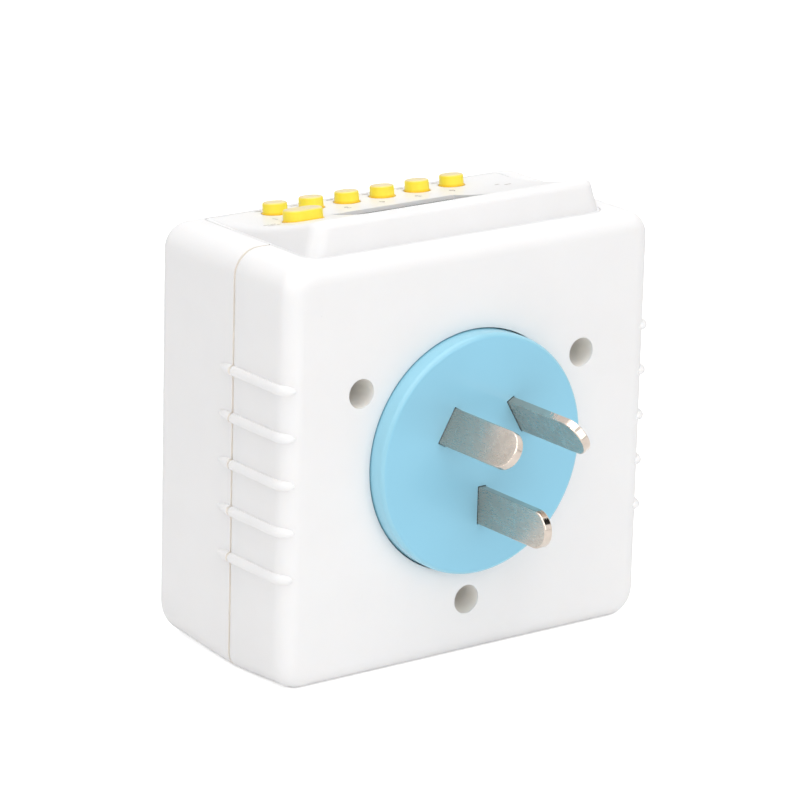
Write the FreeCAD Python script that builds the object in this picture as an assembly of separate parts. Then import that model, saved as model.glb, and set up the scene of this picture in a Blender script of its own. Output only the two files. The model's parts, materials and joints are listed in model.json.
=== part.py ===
import FreeCAD, Part
import math
import os

# A plug-in digital timer: a two-part white case with a sloping control panel on top,
# a round plug disc with three flat pins at the back and a socket of the same layout in front.
# Millimetres. +Y points out of the plug face towards the wall, +Z is up, and +X is to the
# right of a person who faces the socket. The origin is the centre of the pin layout, on the
# outer face of the plug disc. The socket slots have the same layout as the pins.

V = FreeCAD.Vector
FAR = 99.0                   # beyond every face of the timer, for cutting blocks
OVER = 1.0                   # how far a cutter reaches past the face that it opens

# Case
CASE_WIDTH = 73.3
CASE_TOP = 33.2              # top face, above the pin centre
CASE_BOTTOM = -37.0          # flat base, below the pin centre
CASE_DEPTH = 36.7
CASE_WALL = 2.2
CORNER_RADIUS = 4.4          # the two top corners as seen from the plug
BASE_CORNER_SEAM = 3.0       # the two bottom corners at the seam
BASE_CORNER_BACK = 5.0       # and at the back face
BASE_CORNER_FRONT = 6.2      # and at the front face
RIM_RADIUS = 3.0             # rounding round the back face and the front face
SEAM_FROM_BACK = 14.9
SEAM_GAP = 0.5               # shadow line between the two shells
SEAM_DEPTH = 0.8             # from the outer wall to the tongue that closes the line
LIP_LENGTH = 2.0             # tongue of the front shell inside the back shell
LIP_PLAY = 0.05

# Grip ribs on both sides
RIB_COUNT = 5
RIB_RADIUS = 0.85
RIB_PITCH = 7.8
RIB_TOP = 13.5               # height of the uppermost rib
RIB_TIP_LENGTH = 3.5         # pointed end in front of the seam
RIB_TIP_RADIUS = 0.3
RIB_TAIL_RADIUS = 0.2
RIB_WRAP = 68.0              # degrees that a rib follows round the back corner
RIB_SECTIONS = 6             # rings of the tapered end round the back corner

# Discs of the plug and the socket
DISC_CENTRE_Z = -1.85
DISC_RADIUS = 20.15
DISC_PROUD = 3.2
DISC_EDGE = 0.8
DISC_GAP = 0.22               # open ring between a disc and its shell
FLANGE_RADIUS = 22.6
FLANGE_THICK = 1.7
FLANGE_PLAY = 0.1

# Case screws
WELL_CIRCLE = 25.7           # radius of the circle of wells
WELL_CENTRE_Z = -1.7         # centre of that circle
WELL_COUNT = 3
WELL_FIRST_ANGLE = 30.0      # degrees from +X towards +Z
WELL_RADIUS = 2.45
WELL_WALL = 1.5
WELL_FLOOR = 2.5
SCREW_SHANK = 1.45
SCREW_PLAY = 0.05
SCREW_HEAD = 2.3
SCREW_HEAD_HEIGHT = 1.8
SCREW_LENGTH = 13.0
CROSS_REACH = 1.4            # half length of the cross in a screw head
CROSS_HALF = 0.3             # half width of its bars
CROSS_DEPTH = 0.8
BORE_SPARE = 1.0             # depth of a blind bore past the tip of its screw
BOSS_PLAY = 0.5              # room round a screw boss in discs and boards

# Pins
PIN_WIDTH = 6.3
PIN_THICK = 1.5
PIN_LENGTH = 17.5            # from the plug face to the tip
PIN_EDGE = 0.22
LINE_PIN_X = 6.86
LINE_PIN_Z = 3.96
EARTH_PIN_Z = -10.31
LINE_PIN_LEAN = 30.0         # degrees from upright, tops towards the middle
PIN_SLOT_PLAY = 0.08
PIN_SHOULDER = 9.4
PIN_SHOULDER_DEPTH = 2.0
PIN_TAIL_WIDTH = 4.0
PIN_TAIL_PROUD = 1.4         # solder tail past the power board

# Plate that holds the pins in the disc
RETAINER_RADIUS = 17.5
RETAINER_THICK = 2.0
RETAINER_SCREW_X = 13.0
RETAINER_SCREW_Z = -9.0
RETAINER_BOSS = 2.6

# Small screws of boards and plates
SMALL_SHANK = 1.0
SMALL_HEAD = 1.9
SMALL_HEAD_HEIGHT = 1.3
SMALL_PLAY = 0.05

# Control panel
PANEL_WIDTH = 59.6
PANEL_FRONT_MARGIN = 3.1      # from the front face of the case
PANEL_REAR_FROM_BACK = 3.8
PANEL_FRONT_CORNER = 1.0
PANEL_REAR_CORNER = 3.0
PANEL_LEDGE = 0.4            # flat rim round the foot of the raised walls
PANEL_DRAFT_SIDE = 16.0      # degrees that the side walls lean inwards
PANEL_DRAFT_REAR = 5.0
PANEL_SWEEP_RADIUS = 93.5    # hollow sweep of the upper face, seen from the side
PANEL_SWEEP_AHEAD = 0.5      # axis of the sweep, ahead of the front face of the case
PANEL_SWEEP_RISE = 93.57     # axis of the sweep, above the top of the case
PANEL_EDGE = 1.3
PANEL_SHARP = 3.0            # length from the front along which the upper edges stay sharp
HOOD_FRONT_CORNER = 2.0      # upright front edges of the raised walls
HOOD_RING = 8.0              # height above the case at which the leaning walls end, over the ridge
DIP_DEPTH = 0.85               # shallow dip in the ridge, behind the window
DIP_RADIUS = 280.0
DIP_ASIDE = 1.5               # from the middle of the window
PANEL_GAP = 0.12
PANEL_SIDE_WALL = 1.8
PANEL_FRONT_WALL = 1.3
PANEL_FLANGE = 0.7
PANEL_FLANGE_THICK = 1.0

# Plane of keys, display and control board inside the panel
PLANE_BEHIND_FRONT = 14.6    # from the front of the panel
PLANE_RISE = 1.8             # above the top of the case
PLANE_TILT = 8.0
ROOF_THICK = 2.2

# Keys
KEY_NAMES = ("key_clock", "key_program", "key_day", "key_hour", "key_minute", "key_recall")
KEY_RADIUS = 2.05
KEY_FIRST_IN = 11.15         # from the side of the panel to the first key
KEY_LAST_IN = 12.55          # from the last key to the other side
KEY_ROW = -10.5              # place of the row along the slope
KEY_PROUD = 1.95
KEY_EDGE = 0.35
KEY_TAPER = 0.04             # how much narrower a key is at its top
KEY_COLLAR = 0.15            # ring round the foot of a key
KEY_COLLAR_PROUD = 0.14      # above the panel
KEY_HOLE_PLAY = 0.12
KEY_FLANGE = 0.75
KEY_FLANGE_THICK = 0.6
KEY_FLANGE_DROP = 0.3        # gap between flange and roof
KEY_STEM_RADIUS = 1.0
KEY_TRAVEL = 0.5
MODE_KEY_IN = 9.4            # from the side of the panel
MODE_KEY_BEHIND = 0.8        # behind the front edge of the window
MODE_KEY_STRETCH = 2.9       # straight length between the round ends

# Push switches below the keys
SWITCH_SIZE = 4.5
SWITCH_HEIGHT = 2.3
SWITCH_WELL_PLAY = 0.15
STEM_DIP = 0.8               # how far a stem reaches into its switch at rest
SWITCH_WELL_SPARE = 0.3
SWITCH_WELL_DEPTH = STEM_DIP + KEY_TRAVEL + SWITCH_WELL_SPARE

# Display
WINDOW_WIDTH = 24.9
WINDOW_DEPTH = 11.0
WINDOW_KEY_GAP = 2.4         # between the window and the mode key
WINDOW_REAR_MARGIN = 5.35    # from the rear of the panel, along the slope
LENS_DEPTH = 0.6
LENS_PLAY = 0.12
LENS_FLANGE = 1.1
LENS_FLANGE_THICK = 0.8
DISPLAY_THICK = 1.8
DISPLAY_PLAY = 0.1
HOLDER_MARGIN = 0.3

# Control board
CONTROL_BOARD_DEPTH = 6.2    # upper side, below the plane of the keys
CONTROL_BOARD_THICK = 1.2
CONTROL_BOARD_MARGIN = 0.5   # room beside the board inside the panel
CONTROL_BOARD_FRONT = -13.1
CONTROL_BOARD_REAR_MARGIN = 4.35
CONTROL_POST_IN = 1.9        # from the edge of the board to the posts
CONTROL_POST_FRONT_IN = 3.5  # from the front edge of the board
CONTROL_POST_REAR_IN = 2.8   # from the rear edge of the board
CONTROL_POST_RADIUS = 1.8
CONTROL_SCREW_SHANK = 0.8
CONTROL_SCREW_HEAD = 1.5
CONTROL_SCREW_HEAD_HEIGHT = 1.0
CONTROL_SCREW_LENGTH = 4.2
CHIP_SIZE = 12.0
CHIP_THICK = 1.6
CHIP_ROW = -1.0

# Power board
BOARD_FROM_PLUG = 13.0
BOARD_THICK = 1.6
BOARD_SIDE_GAP = 2.45        # from the inside of the case
BOARD_BOTTOM_GAP = 1.5
BOARD_TOP_GAP = 6.5
BOARD_SLOT_PLAY = 0.2
POST_RADIUS = 2.6
POST_IN = 4.0                # from the sides of the board to the posts
POST_BELOW_TOP = 4.5
POST_ABOVE_BOTTOM = 21.0
POST_SCREW_LENGTH = 7.0

# Socket in front
SOCKET_PROUD = 0.6
SOCKET_EDGE = 0.48
SOCKET_SLOT_WIDTH = 7.4
SOCKET_SLOT_THICK = 2.4
CARRIER_RADIUS = 19.5
CARRIER_THICK = 4.1
CARRIER_SCREW_X = 13.0
CARRIER_SCREW_Z = -9.0
TOWER_WALL = 1.0
TOWER_PLAY = 0.1
TOWER_SHORT = 1.0            # a tower ends this far before its contact does
CONTACT_WIDTH = 5.5
CONTACT_SHEET = 0.5
CONTACT_LENGTH = 9.8
CONTACT_FOOT = 4.0
CONTACT_THROAT = 1.3
CONTACT_MOUTH = 2.8
CONTACT_GAP = 0.2
CONTACT_LEAD = 2.2           # from the mouth to the throat
CONTACT_KNEE = 2.0           # straight stretch beside the foot
STRAP_WIDTH = 4.0
STRAP_SHEET = 0.8
LIVE_STRAP_GAP = 0.35

# Shutter behind the live and neutral slots
SHUTTER_THICK = 2.0
SHUTTER_PLAY = 0.1
SHUTTER_TRAVEL = 3.2
SHUTTER_LOW = -4.4
SHUTTER_HIGH = 8.9
SHUTTER_REACH = 14.4
SHUTTER_WINDOW = 2.8
SHUTTER_RAMP = 2.6
SHUTTER_RAMP_DEPTH = 1.5
SHUTTER_SLOT_SPARE = 0.2     # window past each end of the slot
SPRING_RADIUS = 0.95
SPRING_BORE = 0.65
SPRING_LENGTH = 7.05
SPRING_END_PLAY = 0.05
SPRING_ROOM = 3.0
SPRING_PEG = 1.6
SPRING_PEG_PLAY = 0.3
SPRING_Z = -2.1

# Relay on the power board
RELAY_IN = 1.0               # from the side of the board
RELAY_UP = 0.5               # from the bottom edge of the board
RELAY_WIDTH = 19.0
RELAY_HEIGHT = 15.5
RELAY_DEPTH = 15.4
RELAY_CASE_WALL = 0.8
RELAY_CASE_EDGE = 0.5
RELAY_BASE_THICK = 1.4
RELAY_BASE_PLAY = 0.05
RELAY_FRAME_GAP = 0.4        # between the cover and the yoke
YOKE_SHEET = 1.2
COIL_RADIUS = 4.9
COIL_LENGTH = 8.6
COIL_FLANGE = 0.8
COIL_FLANGE_STEP = 0.6       # flange radius past the winding
COIL_GAP = 0.3               # between the coil and the yoke
CORE_RADIUS = 2.0
CORE_PROUD = 0.5
ARMATURE_GAP = 0.55
ARMATURE_WIDTH = 9.0
ARMATURE_SHEET = 1.0
ARMATURE_SEAT = 0.15
BLADE_WIDTH = 5.0
BLADE_SHEET = 0.3
CONTACT_RIVET = 1.4
CONTACT_RIVET_HEIGHT = 0.6
CONTACT_OPEN_GAP = 1.2
RIVET_GAP = 0.6              # between the contacts and the cover
TERMINAL_SHEET = 0.8

# Other parts on the power board
FILM_CAPACITOR_WIDTH = 18.0
FILM_CAPACITOR_DEPTH = 14.0
FILM_CAPACITOR_HEIGHT = 7.5
FILM_CAPACITOR_EDGE = 0.6
FILM_CAPACITOR_IN = 5.0      # from the side of the board
FILM_CAPACITOR_UP = 1.75     # from the bottom edge of the board
SMOOTHING_RADIUS = 4.0
SMOOTHING_HEIGHT = 11.5
SMOOTHING_IN = 5.5           # axis, from the side of the board
SMOOTHING_Z = -3.0
SMOOTHING_GROOVE = 0.5
SMOOTHING_GROOVE_OUT = 0.2   # middle of the groove outside the can
SMOOTHING_GROOVE_UP = 2.0
SURGE_RADIUS = 4.5
SURGE_THICK = 3.6
SURGE_IN = 5.0               # from the side of the board
SURGE_Z = -2.5
SURGE_LEG = 0.8
SURGE_LEG_SPREAD = 5.0
SURGE_LIFT = 0.5
BATTERY_RADIUS = 5.7
BATTERY_LENGTH = 16.0
BATTERY_EDGE = 0.5
BATTERY_BELOW_TOP = 6.5      # axis, from the top edge of the board
BATTERY_TAG = 0.4
BATTERY_TAG_WIDTH = 5.0
BATTERY_TAG_DROP = 2.0       # tags end this far below the top of the battery
RIBBON_X = -13.5
RIBBON_FROM_BOARD = 5.9      # hanging stretch, in front of the power board
RIBBON_WIDTH = 8.0
RIBBON_THICK = 0.9
RIBBON_BEND = 2.0
RIBBON_BELOW_TOP = 6.5       # end of the cable, from the top edge of the board

# Places that follow from the sizes above
BACK_Y = -DISC_PROUD
BACK_INNER_Y = BACK_Y - CASE_WALL
FRONT_Y = BACK_Y - CASE_DEPTH
FRONT_INNER_Y = FRONT_Y + CASE_WALL
SEAM_Y = BACK_Y - SEAM_FROM_BACK
HALF_WIDTH = CASE_WIDTH / 2
INNER_TOP = CASE_TOP - CASE_WALL
INNER_BOTTOM = CASE_BOTTOM + CASE_WALL
BOSS_RADIUS = WELL_RADIUS + WELL_WALL
WELL_END_Y = SEAM_Y + WELL_FLOOR
PLUG_FLANGE_Y = BACK_INNER_Y - FLANGE_PLAY
PLUG_INNER_Y = PLUG_FLANGE_Y - FLANGE_THICK
RETAINER_Y = PLUG_INNER_Y - PIN_SHOULDER_DEPTH
BOARD_BACK_Y = -BOARD_FROM_PLUG
BOARD_FRONT_Y = BOARD_BACK_Y - BOARD_THICK
TAIL_END_Y = BOARD_FRONT_Y - PIN_TAIL_PROUD
SOCKET_FACE_Y = FRONT_Y - SOCKET_PROUD
SOCKET_FLANGE_Y = FRONT_INNER_Y + FLANGE_PLAY
CARRIER_FRONT_Y = SOCKET_FLANGE_Y + FLANGE_THICK
CARRIER_BACK_Y = CARRIER_FRONT_Y + CARRIER_THICK
POCKET_DEPTH = SHUTTER_THICK + 2 * SHUTTER_PLAY
CONTACT_FRONT_Y = CARRIER_BACK_Y + CONTACT_GAP
CONTACT_FOOT_Y = CONTACT_FRONT_Y + CONTACT_LENGTH
PANEL_FRONT_Y = FRONT_Y + PANEL_FRONT_MARGIN
PANEL_REAR_Y = BACK_Y - PANEL_REAR_FROM_BACK
SKIRT_BOTTOM = INNER_TOP - PANEL_FLANGE_THICK
PANEL_SWEEP_Y = FRONT_Y - PANEL_SWEEP_AHEAD
PANEL_SWEEP_Z = CASE_TOP + PANEL_SWEEP_RISE
PLANE_Y = PANEL_FRONT_Y + PLANE_BEHIND_FRONT
PLANE_Z = CASE_TOP + PLANE_RISE
PANEL_REAR_ROW = (PANEL_REAR_Y - PLANE_Y) / math.cos(math.radians(PLANE_TILT))
WINDOW_REAR = PANEL_REAR_ROW - WINDOW_REAR_MARGIN
WINDOW_FRONT = WINDOW_REAR - WINDOW_DEPTH
KEY_FIRST_X = PANEL_WIDTH / 2 - KEY_FIRST_IN
KEY_LAST_X = KEY_LAST_IN - PANEL_WIDTH / 2
KEY_PITCH = (KEY_FIRST_X - KEY_LAST_X) / (len(KEY_NAMES) - 1)
MODE_KEY_X = PANEL_WIDTH / 2 - MODE_KEY_IN
MODE_KEY_ROW = WINDOW_FRONT + MODE_KEY_BEHIND
MODE_KEY_END = MODE_KEY_X - MODE_KEY_STRETCH / 2 - KEY_RADIUS
WINDOW_X = MODE_KEY_END - WINDOW_KEY_GAP - WINDOW_WIDTH / 2
CONTROL_BOARD_HALF = PANEL_WIDTH / 2 - PANEL_SIDE_WALL - CONTROL_BOARD_MARGIN
CONTROL_BOARD_REAR = PANEL_REAR_ROW - CONTROL_BOARD_REAR_MARGIN
CONTROL_POST_ROWS = (
    CONTROL_BOARD_FRONT + CONTROL_POST_FRONT_IN, CONTROL_BOARD_REAR - CONTROL_POST_REAR_IN,
)
BOARD_HALF = HALF_WIDTH - CASE_WALL - BOARD_SIDE_GAP
BOARD_BOTTOM = INNER_BOTTOM + BOARD_BOTTOM_GAP
BOARD_TOP = INNER_TOP - BOARD_TOP_GAP
RELAY_Z = BOARD_BOTTOM + RELAY_UP + RELAY_HEIGHT / 2
BATTERY_Z = BOARD_TOP - BATTERY_BELOW_TOP

# Name, place and lean of each pin, which the socket slots and contacts follow
POLES = (
    ("neutral", LINE_PIN_X, LINE_PIN_Z, -LINE_PIN_LEAN),
    ("live", -LINE_PIN_X, LINE_PIN_Z, LINE_PIN_LEAN),
    ("earth", 0.0, EARTH_PIN_Z, 0.0),
)


def box(x0, x1, y0, y1, z0, z1):
    """Box between two corners."""
    return Part.makeBox(x1 - x0, y1 - y0, z1 - z0, V(x0, y0, z0))


def rod_y(x, z, radius, y0, y1):
    """Round bar along Y."""
    return Part.makeCylinder(radius, y1 - y0, V(x, y0, z), V(0, 1, 0))


def one(shape):
    """A result of cuts and joins with merged faces, as a plain solid if it is in one piece."""
    clean = shape.removeSplitter()
    return clean.Solids[0] if len(clean.Solids) == 1 else clean


def edges_where(shape, test):
    """Edges whose end points all pass a test."""
    return [edge for edge in shape.Edges if all(test(vertex.Point) for vertex in edge.Vertexes)]


def edges_along_y(shape, z):
    """Edges that run along Y at one height."""
    return [
        edge for edge in shape.Edges
        if abs(edge.Vertexes[0].Y - edge.Vertexes[-1].Y) > 1.0 and abs(edge.CenterOfMass.z - z) < 1e-6
    ]


def at_pole(shape, x, z, lean):
    """Move a shape made upright at the origin to a pole, leaning about Y."""
    placed = shape.copy()
    placed.rotate(V(0, 0, 0), V(0, 1, 0), lean)
    placed.translate(V(x, 0, z))
    return placed


def on_plane(shape):
    """Move a shape from the flat frame of the keys to the sloping plane in the panel."""
    placed = shape.copy()
    placed.rotate(V(0, 0, 0), V(1, 0, 0), PLANE_TILT)
    placed.translate(V(0, PLANE_Y, PLANE_Z))
    return placed


def well_places():
    """Centres of the three screw wells, as X and Z."""
    places = []
    for index in range(WELL_COUNT):
        turn = math.radians(WELL_FIRST_ANGLE + index * 360 / WELL_COUNT)
        x = WELL_CIRCLE * math.cos(turn)
        z = WELL_CENTRE_Z + WELL_CIRCLE * math.sin(turn)
        places.append((x, z))
    return places


def post_places():
    """Centres of the four posts of the power board, as X and Z."""
    x = BOARD_HALF - POST_IN
    heights = (BOARD_TOP - POST_BELOW_TOP, BOARD_BOTTOM + POST_ABOVE_BOTTOM)
    return [(side * x, z) for z in heights for side in (1, -1)]


def rounded_block(inset, y0, y1, rim):
    """Block of the case's outline, drawn in by an inset, with rounded corners and rims."""
    block = box(
        -HALF_WIDTH + inset, HALF_WIDTH - inset, y0, y1, CASE_BOTTOM + inset, CASE_TOP - inset
    )
    long_edges = [e for e in block.Edges if abs(e.Vertexes[0].Y - e.Vertexes[1].Y) > 1.0]
    block = block.makeFillet(CORNER_RADIUS - inset, long_edges)
    if rim > 0:
        rims = edges_where(block, lambda p: abs(p.y - y0) < 1e-6)
        rims += edges_where(block, lambda p: abs(p.y - y1) < 1e-6)
        block = block.makeFillet(rim, rims)
    return block


def rib_tip(wall_x, foot_y, z):
    """Pointed front end of a rib, rounded like a bullet."""
    tip_y = SEAM_Y - RIB_TIP_LENGTH
    length = foot_y - tip_y
    drop = RIB_RADIUS - RIB_TIP_RADIUS
    bow = (drop ** 2 + length ** 2) / (2 * drop)
    half_turn = math.asin(length / bow) / 2
    centre_x = wall_x + RIB_RADIUS - bow
    foot = V(wall_x, foot_y, z)
    shoulder = V(wall_x + RIB_RADIUS, foot_y, z)
    middle = V(centre_x + bow * math.cos(half_turn), foot_y - bow * math.sin(half_turn), z)
    point = V(wall_x + RIB_TIP_RADIUS, tip_y, z)
    end = V(wall_x, tip_y, z)
    outline = Part.Wire([
        Part.LineSegment(foot, shoulder).toShape(),
        Part.Arc(shoulder, middle, point).toShape(),
        Part.LineSegment(point, end).toShape(),
        Part.LineSegment(end, foot).toShape(),
    ])
    return Part.Face(outline).revolve(foot, V(0, 1, 0), 360)


def rib_tail(side, bend_y, z):
    """Tapered rear end of a rib, bent round the back corner of the case."""
    axis_x = side * (HALF_WIDTH - RIM_RADIUS)
    rings = []
    for index in range(RIB_SECTIONS):
        share = index / (RIB_SECTIONS - 1)
        turn = math.radians(RIB_WRAP * share)
        radius = RIB_TAIL_RADIUS + (RIB_RADIUS - RIB_TAIL_RADIUS) * (1 - share ** 5)
        centre = V(
            axis_x + side * RIM_RADIUS * math.cos(turn), bend_y + RIM_RADIUS * math.sin(turn), z
        )
        along = V(-side * math.sin(turn), math.cos(turn), 0)
        rings.append(Part.Wire(Part.makeCircle(radius, centre, along)))
    return Part.makeLoft(rings, True)


def rib(side, z):
    """Half-round grip rib along one side, pointed at both ends."""
    wall_x = side * HALF_WIDTH
    bend_y = BACK_Y - RIM_RADIUS
    foot_y = SEAM_Y - SEAM_GAP
    bar = rod_y(wall_x, z, RIB_RADIUS, foot_y, bend_y)
    return bar.fuse([rib_tip(wall_x, foot_y, z), rib_tail(side, bend_y, z)])


def all_ribs():
    """Every rib of both sides."""
    ribs = []
    for side in (-1, 1):
        for index in range(RIB_COUNT):
            ribs.append(rib(side, RIB_TOP - index * RIB_PITCH))
    return ribs


def panel_outline(grow, z0, z1):
    """Upright prism with the footprint of the panel, grown outwards."""
    half = PANEL_WIDTH / 2 + grow
    y0 = PANEL_FRONT_Y - grow
    y1 = PANEL_REAR_Y + grow
    wire = rounded_rectangle(half, y0, y1, z0, PANEL_FRONT_CORNER + grow, PANEL_REAR_CORNER + grow)
    return Part.Face(wire).extrude(V(0, 0, z1 - z0))


def rounded_rectangle(half, y0, y1, z, front_radius, rear_radius):
    """Closed wire of a rectangle with round corners, at one height."""
    corners = (
        (half, y0, front_radius, -1, 1), (half, y1, rear_radius, -1, -1),
        (-half, y1, rear_radius, 1, -1), (-half, y0, front_radius, 1, 1),
    )
    ends = []
    arcs = []
    share = 1 - math.sqrt(0.5)
    for index, (x, y, radius, inward_x, inward_y) in enumerate(corners):
        on_side = V(x, y + inward_y * radius, z)
        on_end = V(x + inward_x * radius, y, z)
        middle = V(x + inward_x * radius * share, y + inward_y * radius * share, z)
        start, stop = (on_end, on_side) if index % 2 == 0 else (on_side, on_end)
        ends.append((start, stop))
        arcs.append(Part.Arc(start, middle, stop).toShape())
    edges = []
    for index in range(4):
        edges.append(arcs[index])
        edges.append(Part.LineSegment(ends[index][1], ends[(index + 1) % 4][0]).toShape())
    return Part.Wire(edges)


def outer_half(end_y, end_radius):
    """Outside of one shell, whose bottom corners grow wider from the seam to its end face."""
    block = box(
        -HALF_WIDTH, HALF_WIDTH, min(SEAM_Y, end_y), max(SEAM_Y, end_y), CASE_BOTTOM, CASE_TOP
    )
    block = block.makeFillet(CORNER_RADIUS, edges_along_y(block, CASE_TOP))
    radii = (BASE_CORNER_SEAM, end_radius) if end_y > SEAM_Y else (end_radius, BASE_CORNER_SEAM)
    block = block.makeFillet(radii[0], radii[1], edges_along_y(block, CASE_BOTTOM))
    return block.makeFillet(RIM_RADIUS, edges_where(block, lambda p: abs(p.y - end_y) < 1e-6))


def case_half(back):
    """One shell of the case without ribs, bosses and openings."""
    hollow = rounded_block(CASE_WALL, FRONT_INNER_Y, BACK_INNER_Y, RIM_RADIUS - CASE_WALL)
    half_gap = SEAM_GAP / 2
    lip_end = SEAM_Y + LIP_LENGTH
    if back:
        outer = outer_half(BACK_Y, BASE_CORNER_BACK)
        keep = box(-FAR, FAR, SEAM_Y + half_gap, FAR, -FAR, FAR)
        rebate = rounded_block(SEAM_DEPTH - LIP_PLAY, SEAM_Y - OVER, lip_end, 0)
        return outer.common(keep), [hollow, rebate]
    outer = outer_half(FRONT_Y, BASE_CORNER_FRONT)
    keep = box(-FAR, FAR, -FAR, SEAM_Y - half_gap, -FAR, FAR)
    lip = rounded_block(SEAM_DEPTH + LIP_PLAY, SEAM_Y - half_gap, lip_end, 0)
    return outer.common(keep).fuse(lip), [hollow]


def ribs_of_half(back):
    """The stretches of the ribs that belong to one shell."""
    half_gap = SEAM_GAP / 2
    if back:
        keep = box(-FAR, FAR, SEAM_Y + half_gap, FAR, -FAR, FAR)
    else:
        keep = box(-FAR, FAR, -FAR, SEAM_Y - half_gap, -FAR, FAR)
    return [piece.common(keep) for piece in all_ribs()]


def back_shell():
    """Shell on the plug side, with screw wells and posts for the power board."""
    shell, hollows = case_half(True)
    shell = shell.fuse(ribs_of_half(True)).cut(hollows)
    parts = []
    for x, z in well_places():
        parts.append(rod_y(x, z, BOSS_RADIUS, SEAM_Y, BACK_INNER_Y + CASE_WALL / 2))
    for x, z in post_places():
        parts.append(rod_y(x, z, POST_RADIUS, BOARD_BACK_Y, BACK_INNER_Y + CASE_WALL / 2))
    shell = shell.fuse(parts)
    cuts = [rod_y(0, DISC_CENTRE_Z, DISC_RADIUS + DISC_GAP, BACK_INNER_Y - OVER, BACK_Y + OVER)]
    for x, z in well_places():
        cuts.append(rod_y(x, z, WELL_RADIUS, WELL_END_Y, BACK_Y + OVER))
        cuts.append(rod_y(x, z, SCREW_SHANK + SCREW_PLAY, SEAM_Y - OVER, WELL_END_Y + OVER))
    for x, z in post_places():
        pilot = SMALL_SHANK + SMALL_PLAY
        cuts.append(rod_y(x, z, pilot, BOARD_BACK_Y - OVER, BACK_INNER_Y))
    cuts.append(panel_outline(PANEL_GAP, INNER_TOP - OVER, CASE_TOP + OVER))
    return one(shell.cut(cuts))


def front_shell():
    """Shell on the socket side, with pillars that take the case screws."""
    shell, hollows = case_half(False)
    shell = shell.fuse(ribs_of_half(False)).cut(hollows)
    pillars = []
    for x, z in well_places():
        pillars.append(rod_y(x, z, BOSS_RADIUS, FRONT_INNER_Y - CASE_WALL / 2, SEAM_Y))
    shell = shell.fuse(pillars)
    cuts = [rod_y(0, DISC_CENTRE_Z, DISC_RADIUS + DISC_GAP, FRONT_Y - OVER, FRONT_INNER_Y + OVER)]
    for x, z in well_places():
        bore_end = WELL_END_Y - SCREW_LENGTH - BORE_SPARE
        cuts.append(rod_y(x, z, SCREW_SHANK + SCREW_PLAY, bore_end, SEAM_Y + OVER))
    cuts.append(panel_outline(PANEL_GAP, INNER_TOP - OVER, CASE_TOP + OVER))
    return one(shell.cut(cuts))


def case_screws():
    """The three screws at the bottom of the wells."""
    screws = []
    for x, z in well_places():
        head = rod_y(x, z, SCREW_HEAD, WELL_END_Y, WELL_END_Y + SCREW_HEAD_HEIGHT)
        shank = rod_y(x, z, SCREW_SHANK, WELL_END_Y - SCREW_LENGTH, WELL_END_Y)
        screws.append(one(head.fuse(shank).cut(cross_recess(x, z))))
    return Part.makeCompound(screws)


def cross_recess(x, z):
    """Two bars that cut a cross into the head of a case screw."""
    y0 = WELL_END_Y + SCREW_HEAD_HEIGHT - CROSS_DEPTH
    y1 = y0 + CROSS_DEPTH + OVER
    level = box(x - CROSS_REACH, x + CROSS_REACH, y0, y1, z - CROSS_HALF, z + CROSS_HALF)
    upright = box(x - CROSS_HALF, x + CROSS_HALF, y0, y1, z - CROSS_REACH, z + CROSS_REACH)
    return [level, upright]


def small_screw(x, z, head_y, direction, length):
    """Small pan-head screw along Y. direction is the side to which its head faces."""
    tip_y = head_y - direction * length
    top_y = head_y + direction * SMALL_HEAD_HEIGHT
    shank = rod_y(x, z, SMALL_SHANK, min(tip_y, head_y), max(tip_y, head_y))
    head = rod_y(x, z, SMALL_HEAD, min(head_y, top_y), max(head_y, top_y))
    return one(shank.fuse(head))


def flanged_disc(face_y, flange_y0, flange_y1, edge):
    """Round disc with a wider flange inside the case that clears the screw bosses."""
    y_values = (face_y, flange_y0, flange_y1)
    disc = rod_y(0, DISC_CENTRE_Z, DISC_RADIUS, min(y_values), max(y_values))
    rim = edges_where(disc, lambda p: abs(p.y - face_y) < 1e-6)
    rim = [e for e in rim if len(e.Vertexes) == 1]
    disc = disc.makeFillet(edge, rim)
    flange = rod_y(0, DISC_CENTRE_Z, FLANGE_RADIUS, flange_y0, flange_y1)
    notches = []
    for x, z in well_places():
        notches.append(rod_y(x, z, BOSS_RADIUS + BOSS_PLAY, flange_y0 - 1, flange_y1 + 1))
    return disc.fuse(flange.cut(notches))


def pole_slots(width, thick, y0, y1):
    """Upright slots at the three poles, each leaning as its pin does."""
    slots = []
    for _, x, z, lean in POLES:
        slot = box(-thick / 2, thick / 2, y0, y1, -width / 2, width / 2)
        slots.append(at_pole(slot, x, z, lean))
    return slots


def plug_disc():
    """Blue disc that carries the pins, with two posts for the retainer's screws."""
    disc = flanged_disc(0, PLUG_INNER_Y, PLUG_FLANGE_Y, DISC_EDGE)
    posts = []
    bores = []
    for side in (-1, 1):
        x = side * RETAINER_SCREW_X
        posts.append(rod_y(x, RETAINER_SCREW_Z, RETAINER_BOSS, RETAINER_Y, PLUG_INNER_Y))
        bore = SMALL_SHANK + SMALL_PLAY
        bores.append(rod_y(x, RETAINER_SCREW_Z, bore, RETAINER_Y - OVER, PLUG_FLANGE_Y + BORE_SPARE))
    play = 2 * PIN_SLOT_PLAY
    slots = pole_slots(PIN_WIDTH + play, PIN_THICK + play, PLUG_INNER_Y - OVER, 1)
    return one(disc.fuse(posts).cut(bores + slots))


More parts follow.
